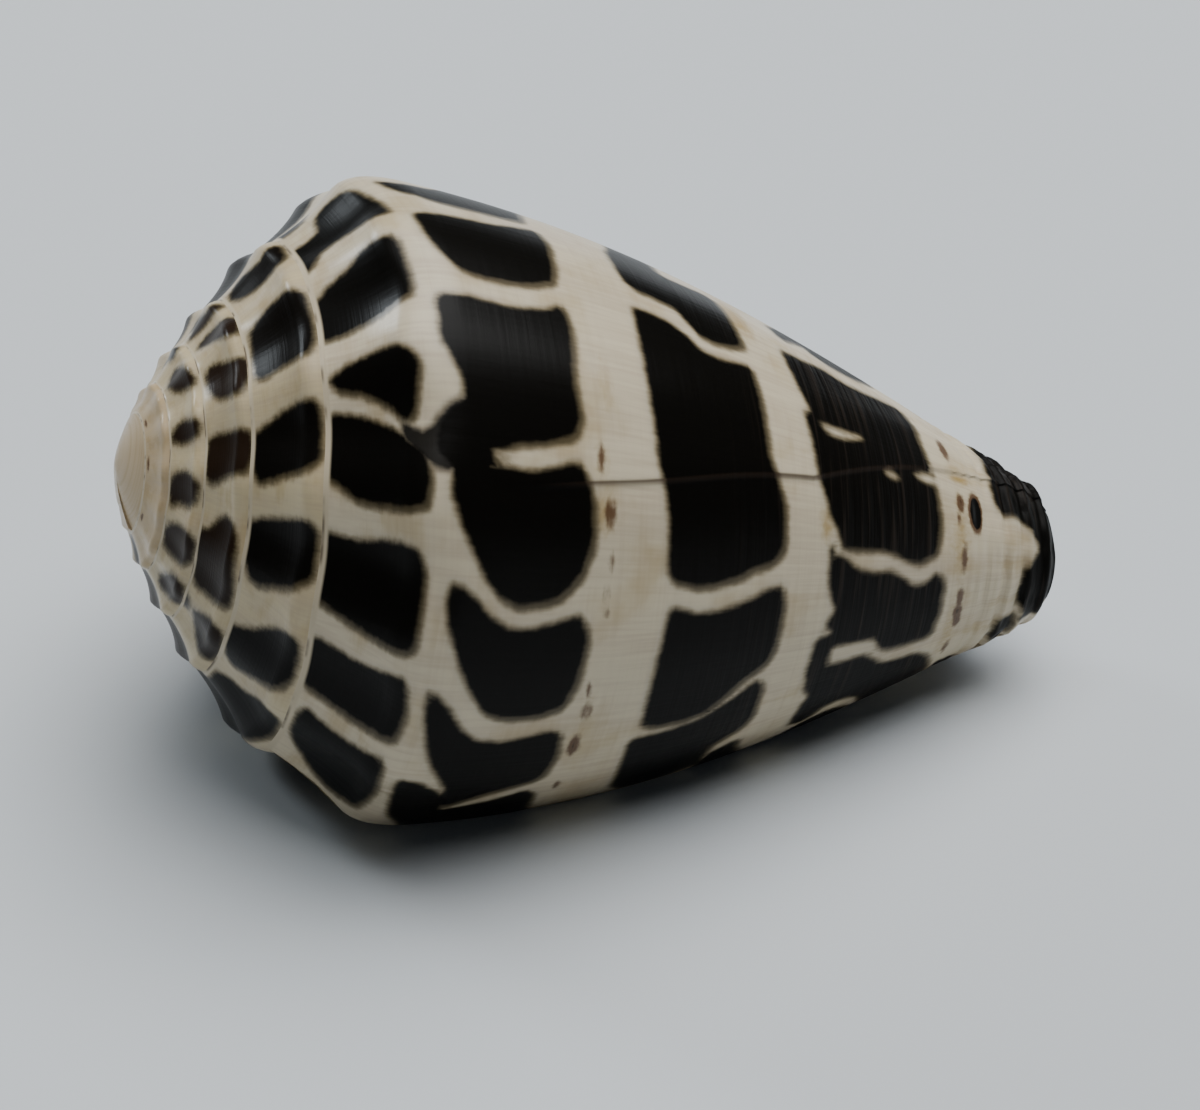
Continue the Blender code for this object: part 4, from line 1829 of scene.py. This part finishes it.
LAMPS: tuple[Lamp, ...] = (
    Lamp("ceiling_light", 42.0, 66.0, 1.0, 0.75, 3.8, (0.99, 0.995, 1.0)),
    Lamp("sky_light", 42.0, 75.0, 1.0, 1.15, 13.8, (0.99, 0.995, 1.0)),
    Lamp("window_light", 128.0, 25.0, 1.2, 0.24, 3.3, (0.86, 0.94, 1.0)),
)


@dataclass(frozen=True)
class Eye:
    """The photographer's camera, placed from the resting shell."""

    spot: tuple[float, float, float] = (-18.0344, -192.9853, 123.4465)
    lens: float = 164.53
    sensor: float = 36.0
    near: float = 0.01
    azimuth: float = 11.469
    drop: float = 33.59
    roll: float = 0.184

    def build(self, shift: Array) -> bpy.types.Object:
        """Camera at the photograph's viewpoint.

        Args:
            shift: Millimetre shift of the resting shell in the shared frame.

        Returns:
            The camera, made the scene's own.
        """
        data = bpy.data.cameras.new("photo_view")
        data.lens = self.lens
        data.sensor_width = self.sensor
        data.sensor_fit = "HORIZONTAL"
        data.clip_start = self.near
        eye = bpy.data.objects.new("photo_view", data)
        bpy.context.scene.collection.objects.link(eye)
        turn = Matrix.Rotation(math.radians(-self.azimuth), 4, "Z")
        drop = Matrix.Rotation(math.radians(90 - self.drop), 4, "X")
        roll = Matrix.Rotation(math.radians(self.roll), 4, "Z")
        spot = (Vector(self.spot) + Vector(shift)) * MM
        eye.matrix_world = Matrix.Translation(spot) @ turn @ drop @ roll
        bpy.context.scene.camera = eye
        return eye


@dataclass(frozen=True)
class Room:
    """Even, dim grey surroundings."""

    colour: Colour = (0.86, 0.93, 1.0, 1.0)
    strength: float = 0.05

    def build(self) -> bpy.types.World:
        """Plain world around the scene.

        Returns:
            The world, made the scene's own.
        """
        world = bpy.data.worlds.new("room")
        world.use_nodes = True
        background = world.node_tree.nodes["Background"]
        background.inputs["Color"].default_value = self.colour
        background.inputs["Strength"].default_value = self.strength
        bpy.context.scene.world = world
        return world


def main() -> None:
    """Build the shell, the floor, the light and the camera."""
    surface = ShellSurface()
    shell = surface.build()
    surface.dress(shell)
    LOG.info("%s: %d points, %d faces", shell.name, len(shell.data.vertices), len(shell.data.polygons))
    LOG.info("%s is staged", Floor().build().name)
    for lamp in LAMPS:
        LOG.info("%s is lit", lamp.build().name)
    LOG.info("%s is lit", Room().build().name)
    eye = Eye().build(surface.shift)
    LOG.info("%s looks from %s", eye.name, [round(value, 4) for value in eye.matrix_world.translation])


if __name__ == "__main__":
    main()
